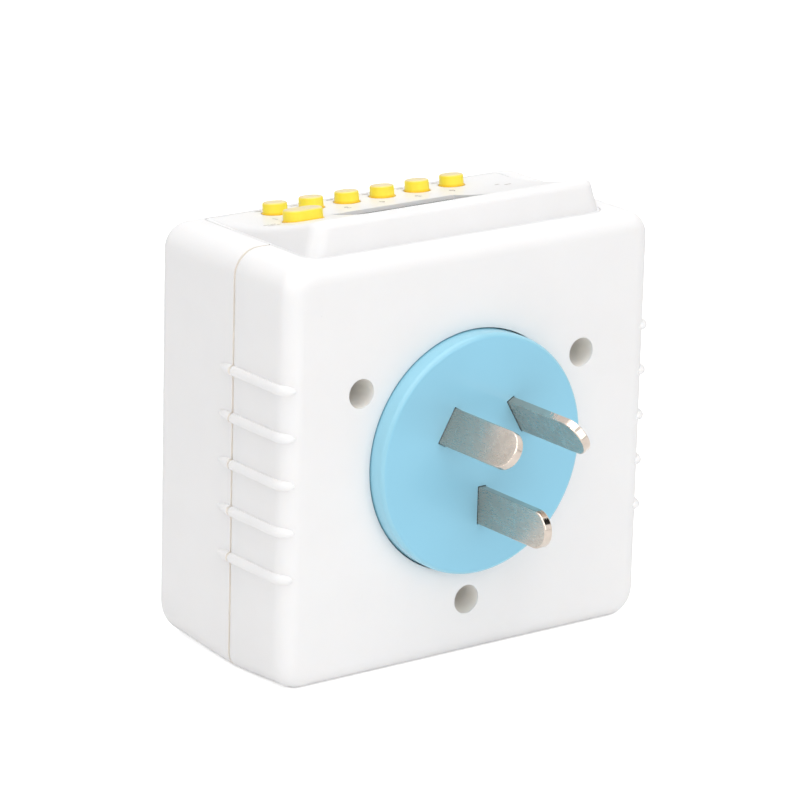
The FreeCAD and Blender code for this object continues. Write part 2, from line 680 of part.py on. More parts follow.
def pin():
    """Flat blade with a round tip, a shoulder behind the disc and a narrow soldered tail."""
    half = PIN_WIDTH / 2
    straight_end = PIN_LENGTH - half
    points = (V(0, PLUG_INNER_Y, -half), V(0, straight_end, -half), V(0, PIN_LENGTH, 0),
              V(0, straight_end, half), V(0, PLUG_INNER_Y, half))
    edges = [
        Part.LineSegment(points[0], points[1]).toShape(),
        Part.Arc(points[1], points[2], points[3]).toShape(),
        Part.LineSegment(points[3], points[4]).toShape(),
        Part.LineSegment(points[4], points[0]).toShape(),
    ]
    blade = Part.Face(Part.Wire(edges)).extrude(V(PIN_THICK, 0, 0))
    blade.translate(V(-PIN_THICK / 2, 0, 0))
    rims = [e for e in blade.Edges
            if abs(e.Vertexes[0].X - e.Vertexes[-1].X) < 1e-6
            and max(v.Y for v in e.Vertexes) > 0]
    blade = blade.makeFillet(PIN_EDGE, rims)
    shoulder = box(
        -PIN_THICK / 2, PIN_THICK / 2, RETAINER_Y, PLUG_INNER_Y,
        -PIN_SHOULDER / 2, PIN_SHOULDER / 2,
    )
    tail = box(
        -PIN_THICK / 2, PIN_THICK / 2, TAIL_END_Y, RETAINER_Y,
        -PIN_TAIL_WIDTH / 2, PIN_TAIL_WIDTH / 2,
    )
    return one(blade.fuse([shoulder, tail]))


def pin_retainer():
    """Insulating plate that presses the pins' shoulders against the plug disc."""
    y0 = RETAINER_Y - RETAINER_THICK
    plate = rod_y(0, DISC_CENTRE_Z, RETAINER_RADIUS, y0, RETAINER_Y)
    play = 2 * PIN_SLOT_PLAY
    cuts = pole_slots(PIN_TAIL_WIDTH + play, PIN_THICK + play, y0 - OVER, RETAINER_Y + OVER)
    bore = SMALL_SHANK + SMALL_PLAY
    for side in (-1, 1):
        x = side * RETAINER_SCREW_X
        cuts.append(rod_y(x, RETAINER_SCREW_Z, bore, y0 - OVER, RETAINER_Y + OVER))
    return one(plate.cut(cuts))


def retainer_screws():
    """Two screws through the retainer into the plug disc."""
    head_y = RETAINER_Y - RETAINER_THICK
    length = RETAINER_THICK + PIN_SHOULDER_DEPTH + FLANGE_THICK
    screws = []
    for side in (-1, 1):
        screws.append(small_screw(side * RETAINER_SCREW_X, RETAINER_SCREW_Z, head_y, -1, length))
    return Part.makeCompound(screws)


def sweep_bar():
    """Everything below the hollow sweep of the panel's upper face, as a long bar along X."""
    y0 = PANEL_FRONT_Y - OVER
    y1 = PANEL_REAR_Y + OVER
    middle = (y0 + y1) / 2

    def height(y):
        return PANEL_SWEEP_Z - math.sqrt(PANEL_SWEEP_RADIUS ** 2 - (y - PANEL_SWEEP_Y) ** 2)

    low = SKIRT_BOTTOM
    points = [V(-FAR, y0, low), V(-FAR, y0, height(y0)), V(-FAR, middle, height(middle)),
              V(-FAR, y1, height(y1)), V(-FAR, y1, low)]
    edges = [
        Part.LineSegment(points[0], points[1]).toShape(),
        Part.Arc(points[1], points[2], points[3]).toShape(),
        Part.LineSegment(points[3], points[4]).toShape(),
        Part.LineSegment(points[4], points[0]).toShape(),
    ]
    return Part.Face(Part.Wire(edges)).extrude(V(2 * FAR, 0, 0))


def panel_hood():
    """Raised wedge of the panel: leaning walls below the hollow sweep, with soft edges."""
    side_lean = math.tan(math.radians(PANEL_DRAFT_SIDE))
    rear_lean = math.tan(math.radians(PANEL_DRAFT_REAR))
    rings = []
    for rise in (-CASE_WALL, HOOD_RING):
        rings.append(rounded_rectangle(
            PANEL_WIDTH / 2 - PANEL_LEDGE - rise * side_lean, PANEL_FRONT_Y,
            PANEL_REAR_Y - PANEL_LEDGE - rise * rear_lean,
            CASE_TOP + rise, HOOD_FRONT_CORNER, PANEL_REAR_CORNER - PANEL_LEDGE,
        ))
    walls = Part.makeLoft(rings, True, True)
    hood = walls.common(sweep_bar())

    def on_sweep(p):
        reach = math.hypot(p.y - PANEL_SWEEP_Y, p.z - PANEL_SWEEP_Z)
        return abs(reach - PANEL_SWEEP_RADIUS) < 1e-4

    upper = edges_where(hood, on_sweep)
    soft = [e for e in upper if max(v.Y for v in e.Vertexes) > PANEL_FRONT_Y + PANEL_SHARP]
    hood = hood.makeFillet(PANEL_EDGE, soft)
    dip_axis = hood.optimalBoundingBox().ZMax - DIP_DEPTH + DIP_RADIUS
    hood = hood.cut(rod_y(WINDOW_X - DIP_ASIDE, dip_axis, DIP_RADIUS, PANEL_FRONT_Y, PANEL_REAR_Y))
    return hood.common(box(-FAR, FAR, -FAR, FAR, CASE_TOP, FAR))


def below_roof():
    """Space below the flat underside of the panel's roof."""
    return on_plane(box(-FAR, FAR, -FAR, FAR, -FAR, -ROOF_THICK))


def key_places():
    """Name, place along X and along the slope, and straight length of each key."""
    places = []
    for index, name in enumerate(KEY_NAMES):
        places.append((name, KEY_FIRST_X - index * KEY_PITCH, KEY_ROW, 0.0))
    places.append(("key_mode", MODE_KEY_X, MODE_KEY_ROW, MODE_KEY_STRETCH))
    return places


def key_prism(x, row, stretch, radius, n0, n1):
    """Round or oval bar in the flat frame of the keys."""
    height = n1 - n0
    if stretch == 0:
        return Part.makeCylinder(radius, height, V(x, row, n0))
    half = stretch / 2
    left = Part.makeCylinder(radius, height, V(x - half, row, n0))
    right = Part.makeCylinder(radius, height, V(x + half, row, n0))
    middle = box(x - half, x + half, row - radius, row + radius, n0, n1)
    return one(left.fuse([right, middle]))


def key_crown(x, row, stretch, n0, n1):
    """Upper part of a key in the flat frame of the keys, slightly narrower at the top."""
    narrow = KEY_RADIUS - KEY_TAPER
    if stretch == 0:
        return Part.makeCone(KEY_RADIUS, narrow, n1 - n0, V(x, row, n0))
    half = stretch / 2
    left = Part.makeCone(KEY_RADIUS, narrow, n1 - n0, V(x - half, row, n0))
    right = Part.makeCone(KEY_RADIUS, narrow, n1 - n0, V(x + half, row, n0))
    section = Part.Face(Part.makePolygon([
        V(x - half, row - KEY_RADIUS, n0), V(x - half, row + KEY_RADIUS, n0),
        V(x - half, row + narrow, n1), V(x - half, row - narrow, n1),
        V(x - half, row - KEY_RADIUS, n0),
    ]))
    return one(left.fuse([right, section.extrude(V(stretch, 0, 0))]))


def key_cap(x, row, stretch):
    """Key with a soft upper edge, a collar, a flange below the roof and a stem."""
    crown = key_crown(x, row, stretch, 0, KEY_PROUD)
    top = edges_where(crown, lambda p: abs(p.z - KEY_PROUD) < 1e-6)
    crown = crown.makeFillet(KEY_EDGE, top)
    flange_top = -ROOF_THICK - KEY_FLANGE_DROP
    flange_low = flange_top - KEY_FLANGE_THICK
    collar = key_prism(x, row, stretch, KEY_RADIUS + KEY_COLLAR, flange_low, KEY_COLLAR_PROUD)
    flange = key_prism(x, row, stretch, KEY_RADIUS + KEY_FLANGE, flange_low, flange_top)
    switch_top = -CONTROL_BOARD_DEPTH + SWITCH_HEIGHT
    stem = key_prism(x, row, 0.0, KEY_STEM_RADIUS, switch_top - STEM_DIP, flange_low)
    return on_plane(one(crown.fuse([collar, flange, stem])))


def key_switches():
    """Push switches on the control board, each with a round well for the key's stem."""
    switches = []
    low = -CONTROL_BOARD_DEPTH
    top = low + SWITCH_HEIGHT
    half = SWITCH_SIZE / 2
    for _, x, row, _ in key_places():
        body = box(x - half, x + half, row - half, row + half, low, top)
        well = key_prism(
            x, row, 0.0, KEY_STEM_RADIUS + SWITCH_WELL_PLAY, top - SWITCH_WELL_DEPTH, top + OVER
        )
        switches.append(one(body.cut(well)))
    return on_plane(Part.makeCompound(switches))


def control_posts(radius, n0, n1):
    """Bars at the four fixing points of the control board."""
    bars = []
    reach = CONTROL_BOARD_HALF - CONTROL_POST_IN
    for x in (-reach, reach):
        for row in CONTROL_POST_ROWS:
            bars.append(Part.makeCylinder(radius, n1 - n0, V(x, row, n0)))
    return bars


def window_block(grow, n0, n1):
    """Rectangular block of the display window, grown outwards."""
    half = WINDOW_WIDTH / 2 + grow
    return box(
        WINDOW_X - half, WINDOW_X + half, WINDOW_FRONT - grow, WINDOW_REAR + grow, n0, n1
    )


def control_panel():
    """Panel with hood, skirt, retaining flange, key holes, window and board posts."""
    skirt = panel_outline(0, SKIRT_BOTTOM, CASE_TOP)
    flange = panel_outline(PANEL_FLANGE, SKIRT_BOTTOM, INNER_TOP)
    flange = flange.common(box(-FAR, FAR, PANEL_FRONT_Y + PANEL_FRONT_WALL, FAR, -FAR, FAR))
    inner_half = PANEL_WIDTH / 2 - PANEL_SIDE_WALL
    cavity_wire = rounded_rectangle(
        inner_half, PANEL_FRONT_Y + PANEL_FRONT_WALL, PANEL_REAR_Y - PANEL_SIDE_WALL,
        SKIRT_BOTTOM - OVER, PANEL_FRONT_CORNER, PANEL_REAR_CORNER - PANEL_SIDE_WALL / 2,
    )
    cavity = Part.Face(cavity_wire).extrude(V(0, 0, FAR)).common(below_roof())
    body = panel_hood().fuse([skirt, flange]).cut(cavity)
    posts = control_posts(CONTROL_POST_RADIUS, -CONTROL_BOARD_DEPTH, -ROOF_THICK / 2)
    body = body.fuse([on_plane(post) for post in posts])
    cuts = [on_plane(window_block(0, -FAR, FAR))]
    for _, x, row, stretch in key_places():
        hole = KEY_RADIUS + KEY_COLLAR + KEY_HOLE_PLAY
        cuts.append(on_plane(key_prism(x, row, stretch, hole, -FAR, FAR)))
    pilot_low = -CONTROL_BOARD_DEPTH - CONTROL_BOARD_THICK
    pilot_top = pilot_low + CONTROL_SCREW_LENGTH + BORE_SPARE
    pilots = control_posts(CONTROL_SCREW_SHANK + SMALL_PLAY, pilot_low, pilot_top)
    cuts += [on_plane(bar) for bar in pilots]
    return one(body.cut(cuts))


def lcd_lens():
    """Clear window: a raised pane in the panel's opening and a flange below the roof."""
    pane = window_block(-LENS_PLAY, -ROOF_THICK, -LENS_DEPTH)
    flange = window_block(LENS_FLANGE, -ROOF_THICK - LENS_FLANGE_THICK, -ROOF_THICK)
    return on_plane(one(pane.fuse(flange)))


def lcd_module():
    """Display glass below the window."""
    top = -ROOF_THICK - LENS_FLANGE_THICK - DISPLAY_PLAY
    return on_plane(window_block(LENS_FLANGE, top - DISPLAY_THICK, top))


def lcd_holder():
    """Frame between the display glass and the control board."""
    top = -ROOF_THICK - LENS_FLANGE_THICK - DISPLAY_PLAY - DISPLAY_THICK
    return on_plane(window_block(LENS_FLANGE + HOLDER_MARGIN, -CONTROL_BOARD_DEPTH, top))


def control_board():
    """Printed board of the controls."""
    low = -CONTROL_BOARD_DEPTH - CONTROL_BOARD_THICK
    board = box(
        -CONTROL_BOARD_HALF, CONTROL_BOARD_HALF, CONTROL_BOARD_FRONT, CONTROL_BOARD_REAR,
        low, -CONTROL_BOARD_DEPTH,
    )
    bore = CONTROL_SCREW_SHANK + SMALL_PLAY
    holes = control_posts(bore, low - OVER, -CONTROL_BOARD_DEPTH + OVER)
    return on_plane(one(board.cut(holes)))


def control_chip():
    """Controller chip on the underside of the control board."""
    top = -CONTROL_BOARD_DEPTH - CONTROL_BOARD_THICK
    half = CHIP_SIZE / 2
    chip = box(
        WINDOW_X - half, WINDOW_X + half, CHIP_ROW - half, CHIP_ROW + half, top - CHIP_THICK, top
    )
    return on_plane(chip)


def control_board_screws():
    """Four small screws that hold the control board to the panel's posts."""
    low = -CONTROL_BOARD_DEPTH - CONTROL_BOARD_THICK
    heads = control_posts(CONTROL_SCREW_HEAD, low - CONTROL_SCREW_HEAD_HEIGHT, low)
    shanks = control_posts(CONTROL_SCREW_SHANK, low, low + CONTROL_SCREW_LENGTH)
    return on_plane(Part.makeCompound([one(h.fuse(s)) for h, s in zip(heads, shanks)]))


def power_board():
    """Printed board across the case, behind the plug."""
    board = box(-BOARD_HALF, BOARD_HALF, BOARD_FRONT_Y, BOARD_BACK_Y, BOARD_BOTTOM, BOARD_TOP)
    play = 2 * BOARD_SLOT_PLAY
    y0 = BOARD_FRONT_Y - OVER
    y1 = BOARD_BACK_Y + OVER
    cuts = pole_slots(PIN_TAIL_WIDTH + play, PIN_THICK + play, y0, y1)
    for x, z in well_places():
        cuts.append(rod_y(x, z, BOSS_RADIUS + BOSS_PLAY, y0, y1))
    for x, z in post_places():
        cuts.append(rod_y(x, z, SMALL_SHANK + SMALL_PLAY, y0, y1))
    return one(board.cut(cuts))


def power_board_screws():
    """Four screws that hold the power board to the posts."""
    screws = []
    for x, z in post_places():
        screws.append(small_screw(x, z, BOARD_FRONT_Y, -1, POST_SCREW_LENGTH))
    return Part.makeCompound(screws)


def socket_face():
    """Blue socket disc with three slots, flanged inside the front shell."""
    disc = flanged_disc(SOCKET_FACE_Y, SOCKET_FLANGE_Y, CARRIER_FRONT_Y, SOCKET_EDGE)
    cuts = pole_slots(
        SOCKET_SLOT_WIDTH, SOCKET_SLOT_THICK, SOCKET_FACE_Y - OVER, CARRIER_FRONT_Y + OVER
    )
    for side in (-1, 1):
        x = side * CARRIER_SCREW_X
        bore = SMALL_SHANK + SMALL_PLAY
        cuts.append(rod_y(x, CARRIER_SCREW_Z, bore, FRONT_INNER_Y - OVER, CARRIER_FRONT_Y + OVER))
    return one(disc.cut(cuts))


def shutter_pocket(y0, y1):
    """Room for the shutter and its travel."""
    reach = SHUTTER_REACH + SHUTTER_PLAY
    low = SHUTTER_LOW - SHUTTER_PLAY
    high = SHUTTER_HIGH + SHUTTER_PLAY
    return box(-reach, reach, y0, y1, low, high)


def contact_carrier():
    """Insulating block behind the socket: shutter pocket in front, contact towers behind."""
    plate = rod_y(0, DISC_CENTRE_Z, CARRIER_RADIUS, CARRIER_FRONT_Y, CARRIER_BACK_Y)
    plate = plate.cut(shutter_pocket(CARRIER_FRONT_Y - OVER, CARRIER_FRONT_Y + POCKET_DEPTH))
    inner_width = CONTACT_WIDTH + 2 * TOWER_PLAY
    inner_thick = CONTACT_FOOT + 2 * TOWER_PLAY
    tower_end = CONTACT_FOOT_Y - TOWER_SHORT
    towers = pole_slots(
        inner_width + 2 * TOWER_WALL, inner_thick + 2 * TOWER_WALL, CARRIER_BACK_Y - OVER, tower_end
    )
    peg = box(
        -SPRING_PEG / 2, SPRING_PEG / 2, CARRIER_FRONT_Y + SHUTTER_PLAY,
        CARRIER_FRONT_Y + POCKET_DEPTH, SPRING_Z - SPRING_ROOM / 2 + SPRING_PEG_PLAY,
        SPRING_Z + SPRING_ROOM / 2 - SPRING_PEG_PLAY,
    )
    cuts = pole_slots(inner_width, inner_thick, CARRIER_BACK_Y, tower_end + OVER)
    cuts += pole_slots(
        SOCKET_SLOT_WIDTH, SOCKET_SLOT_THICK, CARRIER_FRONT_Y - OVER, CARRIER_BACK_Y + OVER
    )
    for side in (-1, 1):
        x = side * CARRIER_SCREW_X
        bore = SMALL_SHANK + SMALL_PLAY
        cuts.append(rod_y(x, CARRIER_SCREW_Z, bore, CARRIER_FRONT_Y - OVER, CARRIER_BACK_Y + OVER))
    return one(plate.fuse(towers + [peg]).cut(cuts))


def carrier_screws():
    """Two screws through the contact carrier into the socket disc."""
    screws = []
    length = CARRIER_THICK + FLANGE_THICK
    for side in (-1, 1):
        screws.append(
            small_screw(side * CARRIER_SCREW_X, CARRIER_SCREW_Z, CARRIER_BACK_Y, 1, length)
        )
    return Part.makeCompound(screws)


def shutter_windows():
    """Window and ramp cuts of the shutter, beside the live and neutral slots at rest."""
    y0 = CARRIER_FRONT_Y - OVER
    y1 = CARRIER_FRONT_Y + POCKET_DEPTH + OVER
    face_y = CARRIER_FRONT_Y + SHUTTER_PLAY
    half_slot = SOCKET_SLOT_WIDTH / 2 + SHUTTER_SLOT_SPARE
    half_window = SHUTTER_WINDOW / 2
    ramp_end = half_window + SHUTTER_RAMP
    cuts = []
    for _, x, z, lean in POLES[:2]:
        window = box(-half_window, half_window, y0, y1, -half_slot, half_slot)
        corners = [
            V(0, face_y - OVER, -half_slot), V(ramp_end, face_y - OVER, -half_slot),
            V(ramp_end, face_y, -half_slot), V(half_window, face_y + SHUTTER_RAMP_DEPTH, -half_slot),
            V(0, face_y + SHUTTER_RAMP_DEPTH, -half_slot),
        ]
        ramp = Part.Face(Part.makePolygon(corners + corners[:1])).extrude(V(0, 0, 2 * half_slot))
        for cut in (window, ramp):
            cuts.append(at_pole(cut, x - SHUTTER_TRAVEL, z, lean))
    return cuts


def socket_shutter():
    """Sliding plate that closes the live and neutral slots until pins push it aside."""
    y0 = CARRIER_FRONT_Y + SHUTTER_PLAY
    plate = box(
        -SHUTTER_REACH, SHUTTER_REACH - SHUTTER_TRAVEL, y0, y0 + SHUTTER_THICK,
        SHUTTER_LOW, SHUTTER_HIGH,
    )
    room = box(
        spring_start() - SPRING_END_PLAY, SPRING_PEG / 2 + SPRING_PEG_PLAY, y0 - OVER,
        y0 + SHUTTER_THICK + OVER, SPRING_Z - SPRING_ROOM / 2, SPRING_Z + SPRING_ROOM / 2,
    )
    return one(plate.cut(shutter_windows() + [room]))


def spring_start():
    """Place in X of the end of the spring that bears on the shutter."""
    return -SPRING_PEG / 2 - SPRING_END_PLAY - SPRING_LENGTH


def shutter_spring():
    """Return spring of the shutter, between the plate and the carrier's peg."""
    start = V(spring_start(), CARRIER_FRONT_Y + SHUTTER_PLAY + SHUTTER_THICK / 2, SPRING_Z)
    outer = Part.makeCylinder(SPRING_RADIUS, SPRING_LENGTH, start, V(1, 0, 0))
    bore = Part.makeCylinder(SPRING_BORE, SPRING_LENGTH, start, V(1, 0, 0))
    return one(outer.cut(bore))


def contact_clip():
    """Spring clip with two leaves that narrow to a throat and open to a mouth."""
    sheet = CONTACT_SHEET
    foot_y = CONTACT_FOOT_Y
    half_foot = CONTACT_FOOT / 2
    half_throat = CONTACT_THROAT / 2
    half_mouth = CONTACT_MOUTH / 2
    throat_y = CONTACT_FRONT_Y + CONTACT_LEAD
    knee_y = foot_y - CONTACT_KNEE
    foot = box(
        -half_foot, half_foot, foot_y - sheet, foot_y, -CONTACT_WIDTH / 2, CONTACT_WIDTH / 2
    )
    leaves = []
    for side in (-1, 1):
        line = [
            (half_foot, foot_y), (half_foot, knee_y), (half_throat + sheet, throat_y),
            (half_mouth + sheet, CONTACT_FRONT_Y), (half_mouth, CONTACT_FRONT_Y),
            (half_throat, throat_y), (half_foot - sheet, knee_y), (half_foot - sheet, foot_y),
        ]
        corners = [V(side * t, y, -CONTACT_WIDTH / 2) for t, y in line]
        face = Part.Face(Part.makePolygon(corners + corners[:1]))
        leaves.append(face.extrude(V(0, 0, CONTACT_WIDTH)))
    return one(foot.fuse(leaves))


def strap(offset, end_y):
    """Flat strap from a contact's foot to the power board, beside the pin's tail."""
    return box(
        offset, offset + STRAP_SHEET, CONTACT_FOOT_Y, end_y, -STRAP_WIDTH / 2, STRAP_WIDTH / 2
    )


def relay_frame():
    """Edges of the relay, as low and high X, low and high Z, and the board side in Y."""
    x0 = -BOARD_HALF + RELAY_IN
    z0 = RELAY_Z - RELAY_HEIGHT / 2
    return x0, x0 + RELAY_WIDTH, z0, z0 + RELAY_HEIGHT, BOARD_FRONT_Y


def relay_base():
    """Plate that closes the relay towards the power board."""
    x0, x1, z0, z1, y = relay_frame()
    inset = RELAY_CASE_WALL + RELAY_BASE_PLAY
    return box(x0 + inset, x1 - inset, y - RELAY_BASE_THICK, y, z0 + inset, z1 - inset)


def relay_case():
    """Cover of the relay, open towards the board."""
    x0, x1, z0, z1, y = relay_frame()
    wall = RELAY_CASE_WALL
    outer = box(x0, x1, y - RELAY_DEPTH, y, z0, z1)
    long_edges = [e for e in outer.Edges if abs(e.Vertexes[0].Y - e.Vertexes[1].Y) > 1.0]
    outer = outer.makeFillet(RELAY_CASE_EDGE, long_edges)
    inner = box(x0 + wall, x1 - wall, y - RELAY_DEPTH + wall, y + OVER, z0 + wall, z1 - wall)
    return one(outer.cut(inner))


def coil_axis():
    """Place of the coil's axis in X, its board-side end and its free end in Y."""
    x0, _, _, _, y = relay_frame()
    x = x0 + RELAY_CASE_WALL + RELAY_FRAME_GAP + YOKE_SHEET + COIL_GAP + COIL_RADIUS
    start = y - RELAY_BASE_THICK - YOKE_SHEET
    return x, start, start - COIL_LENGTH


def relay_coil():
    """Wound bobbin on its iron core."""
    x, start, end = coil_axis()
    winding = rod_y(x, RELAY_Z, COIL_RADIUS - COIL_FLANGE_STEP, end, start)
    flanges = [
        rod_y(x, RELAY_Z, COIL_RADIUS, start - COIL_FLANGE, start),
        rod_y(x, RELAY_Z, COIL_RADIUS, end, end + COIL_FLANGE),
    ]
    core = rod_y(x, RELAY_Z, CORE_RADIUS, end - CORE_PROUD, end)
    return one(winding.fuse(flanges + [core]))


def relay_yoke():
    """Bent iron frame: a foot below the coil and a leg beside it."""
    x, start, end = coil_axis()
    leg_x = x - COIL_RADIUS - COIL_GAP - YOKE_SHEET
    half = ARMATURE_WIDTH / 2
    foot = box(leg_x, x + COIL_RADIUS, start, start + YOKE_SHEET, RELAY_Z - half, RELAY_Z + half)
    leg_end = end - CORE_PROUD
    leg = box(leg_x, leg_x + YOKE_SHEET, leg_end, start, RELAY_Z - half, RELAY_Z + half)
    return one(foot.fuse(leg))


def armature_hinge():
    """Hinge line of the armature, at the free end of the yoke's leg, as X and Y."""
    x, _, end = coil_axis()
    return x - COIL_RADIUS - COIL_GAP - YOKE_SHEET / 2, end - CORE_PROUD - ARMATURE_SEAT


def relay_armature():
    """Iron plate that tips on the yoke, with the moving contact on its spring blade."""
    hinge_x, hinge_y = armature_hinge()
    coil_x = coil_axis()[0]
    half = ARMATURE_WIDTH / 2
    turn = math.atan2(ARMATURE_GAP - ARMATURE_SEAT, coil_x - hinge_x)
    plate = box(
        hinge_x - YOKE_SHEET / 2, coil_x + COIL_RADIUS, hinge_y - ARMATURE_SHEET, hinge_y,
        RELAY_Z - half, RELAY_Z + half,
    )
    blade_end = rivet_x() + CONTACT_RIVET
    blade_y = hinge_y - ARMATURE_SHEET
    blade = box(
        coil_x, blade_end, blade_y - BLADE_SHEET, blade_y,
        RELAY_Z - BLADE_WIDTH / 2, RELAY_Z + BLADE_WIDTH / 2,
    )
    rivet = rod_y(rivet_x(), RELAY_Z, CONTACT_RIVET, blade_y, blade_y + CONTACT_RIVET_HEIGHT)
    armature = one(plate.fuse([blade, rivet]))
    armature.rotate(V(hinge_x, hinge_y, RELAY_Z), V(0, 0, 1), -math.degrees(turn))
    return armature


def rivet_x():
    """Place of the relay's contacts in X."""
    return relay_frame()[1] - RELAY_CASE_WALL - RIVET_GAP - CONTACT_RIVET


def relay_terminal():
    """Fixed contact on its terminal, which stands on the relay's base."""
    hinge_x, hinge_y = armature_hinge()
    coil_x = coil_axis()[0]
    slope = (ARMATURE_GAP - ARMATURE_SEAT) / (coil_x - hinge_x)
    reach = rivet_x() - hinge_x
    moving_y = hinge_y - ARMATURE_SHEET + CONTACT_RIVET_HEIGHT - slope * reach
    top_y = moving_y + CONTACT_OPEN_GAP
    rivet = rod_y(rivet_x(), RELAY_Z, CONTACT_RIVET, top_y, top_y + CONTACT_RIVET_HEIGHT)
    arm_y = top_y + CONTACT_RIVET_HEIGHT
    half = BLADE_WIDTH / 2
    arm = box(
        rivet_x() - CONTACT_RIVET, rivet_x() + CONTACT_RIVET, arm_y, arm_y + YOKE_SHEET,
        RELAY_Z - half, RELAY_Z + half,
    )
    base_y = BOARD_FRONT_Y - RELAY_BASE_THICK
    leg = box(
        rivet_x() + CONTACT_RIVET - TERMINAL_SHEET, rivet_x() + CONTACT_RIVET, arm_y, base_y,
        RELAY_Z - half, RELAY_Z + half,
    )
    return one(rivet.fuse([arm, leg]))


def film_capacitor():
    """Box capacitor that drops the mains voltage."""
    x1 = BOARD_HALF - FILM_CAPACITOR_IN
    z0 = BOARD_BOTTOM + FILM_CAPACITOR_UP
    body = box(
        x1 - FILM_CAPACITOR_WIDTH, x1, BOARD_FRONT_Y - FILM_CAPACITOR_DEPTH, BOARD_FRONT_Y,
        z0, z0 + FILM_CAPACITOR_HEIGHT,
    )
    upright = [e for e in body.Edges if abs(e.Vertexes[0].Y - e.Vertexes[1].Y) > 1.0]
    return one(body.makeFillet(FILM_CAPACITOR_EDGE, upright))


def smoothing_capacitor():
    """Round capacitor with a groove near its board end."""
    x = BOARD_HALF - SMOOTHING_IN
    y0 = BOARD_FRONT_Y - SMOOTHING_HEIGHT
    can = rod_y(x, SMOOTHING_Z, SMOOTHING_RADIUS, y0, BOARD_FRONT_Y)
    groove = Part.makeTorus(
        SMOOTHING_RADIUS + SMOOTHING_GROOVE_OUT, SMOOTHING_GROOVE,
        V(x, BOARD_FRONT_Y - SMOOTHING_GROOVE_UP, SMOOTHING_Z), V(0, 1, 0),
    )
    return one(can.cut(groove))


def surge_absorber():
    """Round disc that stands on the board beside the live pin."""
    x = -BOARD_HALF + SURGE_IN
    y = BOARD_FRONT_Y - SURGE_RADIUS - SURGE_LIFT
    start = V(x - SURGE_THICK / 2, y, SURGE_Z)
    disc = Part.makeCylinder(SURGE_RADIUS, SURGE_THICK, start, V(1, 0, 0))
    half = SURGE_LEG / 2
    legs = []
    for side in (-1, 1):
        z = SURGE_Z + side * SURGE_LEG_SPREAD / 2
        legs.append(box(x - half, x + half, y, BOARD_FRONT_Y, z - half, z + half))
    return one(disc.fuse(legs))


def backup_battery():
    """Battery that keeps the clock when the timer is unplugged."""
    y = BOARD_FRONT_Y - BATTERY_RADIUS
    start = V(-BATTERY_LENGTH / 2, y, BATTERY_Z)
    cell = Part.makeCylinder(BATTERY_RADIUS, BATTERY_LENGTH, start, V(1, 0, 0))
    ends = [e for e in cell.Edges if len(e.Vertexes) == 1]
    return one(cell.makeFillet(BATTERY_EDGE, ends))


def battery_tags():
    """Two solder tags that hold the battery at its ends."""
    tags = []
    top_y = BOARD_FRONT_Y - 2 * BATTERY_RADIUS + BATTERY_TAG_DROP
    half = BATTERY_TAG_WIDTH / 2
    for side in (-1, 1):
        near = side * BATTERY_LENGTH / 2
        far = near + side * BATTERY_TAG
        tags.append(box(
            min(near, far), max(near, far), top_y, BOARD_FRONT_Y, BATTERY_Z - half, BATTERY_Z + half
        ))
    return Part.makeCompound(tags)


def ribbon_cable():
    """Flat cable from the control board's underside to the power board."""
    depth = CONTROL_BOARD_DEPTH + CONTROL_BOARD_THICK
    y = BOARD_FRONT_Y - RIBBON_FROM_BOARD
    end_z = BOARD_TOP - RIBBON_BELOW_TOP
    half = RIBBON_THICK / 2
    bend_z = end_z + RIBBON_BEND
    x0 = RIBBON_X - RIBBON_WIDTH / 2
    x1 = RIBBON_X + RIBBON_WIDTH / 2
    drop = box(x0, x1, y - half, y + half, bend_z, FAR)
    above = on_plane(box(-FAR, FAR, -FAR, FAR, -depth, 2 * FAR))
    corners = [V(x0, y - half, bend_z), V(x0, y + half, bend_z),
               V(x1, y + half, bend_z), V(x1, y - half, bend_z)]
    face = Part.Face(Part.makePolygon(corners + corners[:1]))
    turn = face.revolve(V(0, y + RIBBON_BEND, bend_z), V(1, 0, 0), 90)
    run = box(x0, x1, y + RIBBON_BEND, BOARD_FRONT_Y, end_z - half, end_z + half)
    return one(drop.cut(above).fuse([turn, run]))


def build_nodes():
    """All named pieces of the timer."""
    nodes = {
        "back_shell": back_shell(),
        "front_shell": front_shell(),
        "control_panel": control_panel(),
        "case_screws": case_screws(),
        "lcd_lens": lcd_lens(),
        "lcd_module": lcd_module(),
        "lcd_holder": lcd_holder(),
        "key_switches": key_switches(),
        "control_board": control_board(),
        "control_chip": control_chip(),
        "control_board_screws": control_board_screws(),
        "plug_disc": plug_disc(),
        "pin_retainer": pin_retainer(),
        "retainer_screws": retainer_screws(),
        "power_board": power_board(),
        "power_board_screws": power_board_screws(),
        "relay_base": relay_base(),
        "relay_case": relay_case(),
        "relay_coil": relay_coil(),
        "relay_yoke": relay_yoke(),
        "relay_armature": relay_armature(),
        "relay_terminal": relay_terminal(),
        "film_capacitor": film_capacitor(),
        "smoothing_capacitor": smoothing_capacitor(),
        "surge_absorber": surge_absorber(),
        "backup_battery": backup_battery(),
        "battery_tags": battery_tags(),
        "ribbon_cable": ribbon_cable(),
        "socket_face": socket_face(),
        "contact_carrier": contact_carrier(),
        "carrier_screws": carrier_screws(),
        "socket_shutter": socket_shutter(),
        "shutter_spring": shutter_spring(),
    }
    for name, x, row, stretch in key_places():
        nodes[name] = key_cap(x, row, stretch)
    beside_tail = PIN_THICK / 2
    for name, x, z, lean in POLES:
        nodes[name + "_pin"] = at_pole(pin(), x, z, lean)
        nodes[name + "_contact"] = at_pole(contact_clip(), x, z, lean)
        if name == "live":
            bar = strap(beside_tail + LIVE_STRAP_GAP, BOARD_FRONT_Y)
        else:
            bar = strap(beside_tail, BOARD_FRONT_Y)
        nodes[name + "_strap"] = at_pole(bar, x, z, lean)
    return nodes


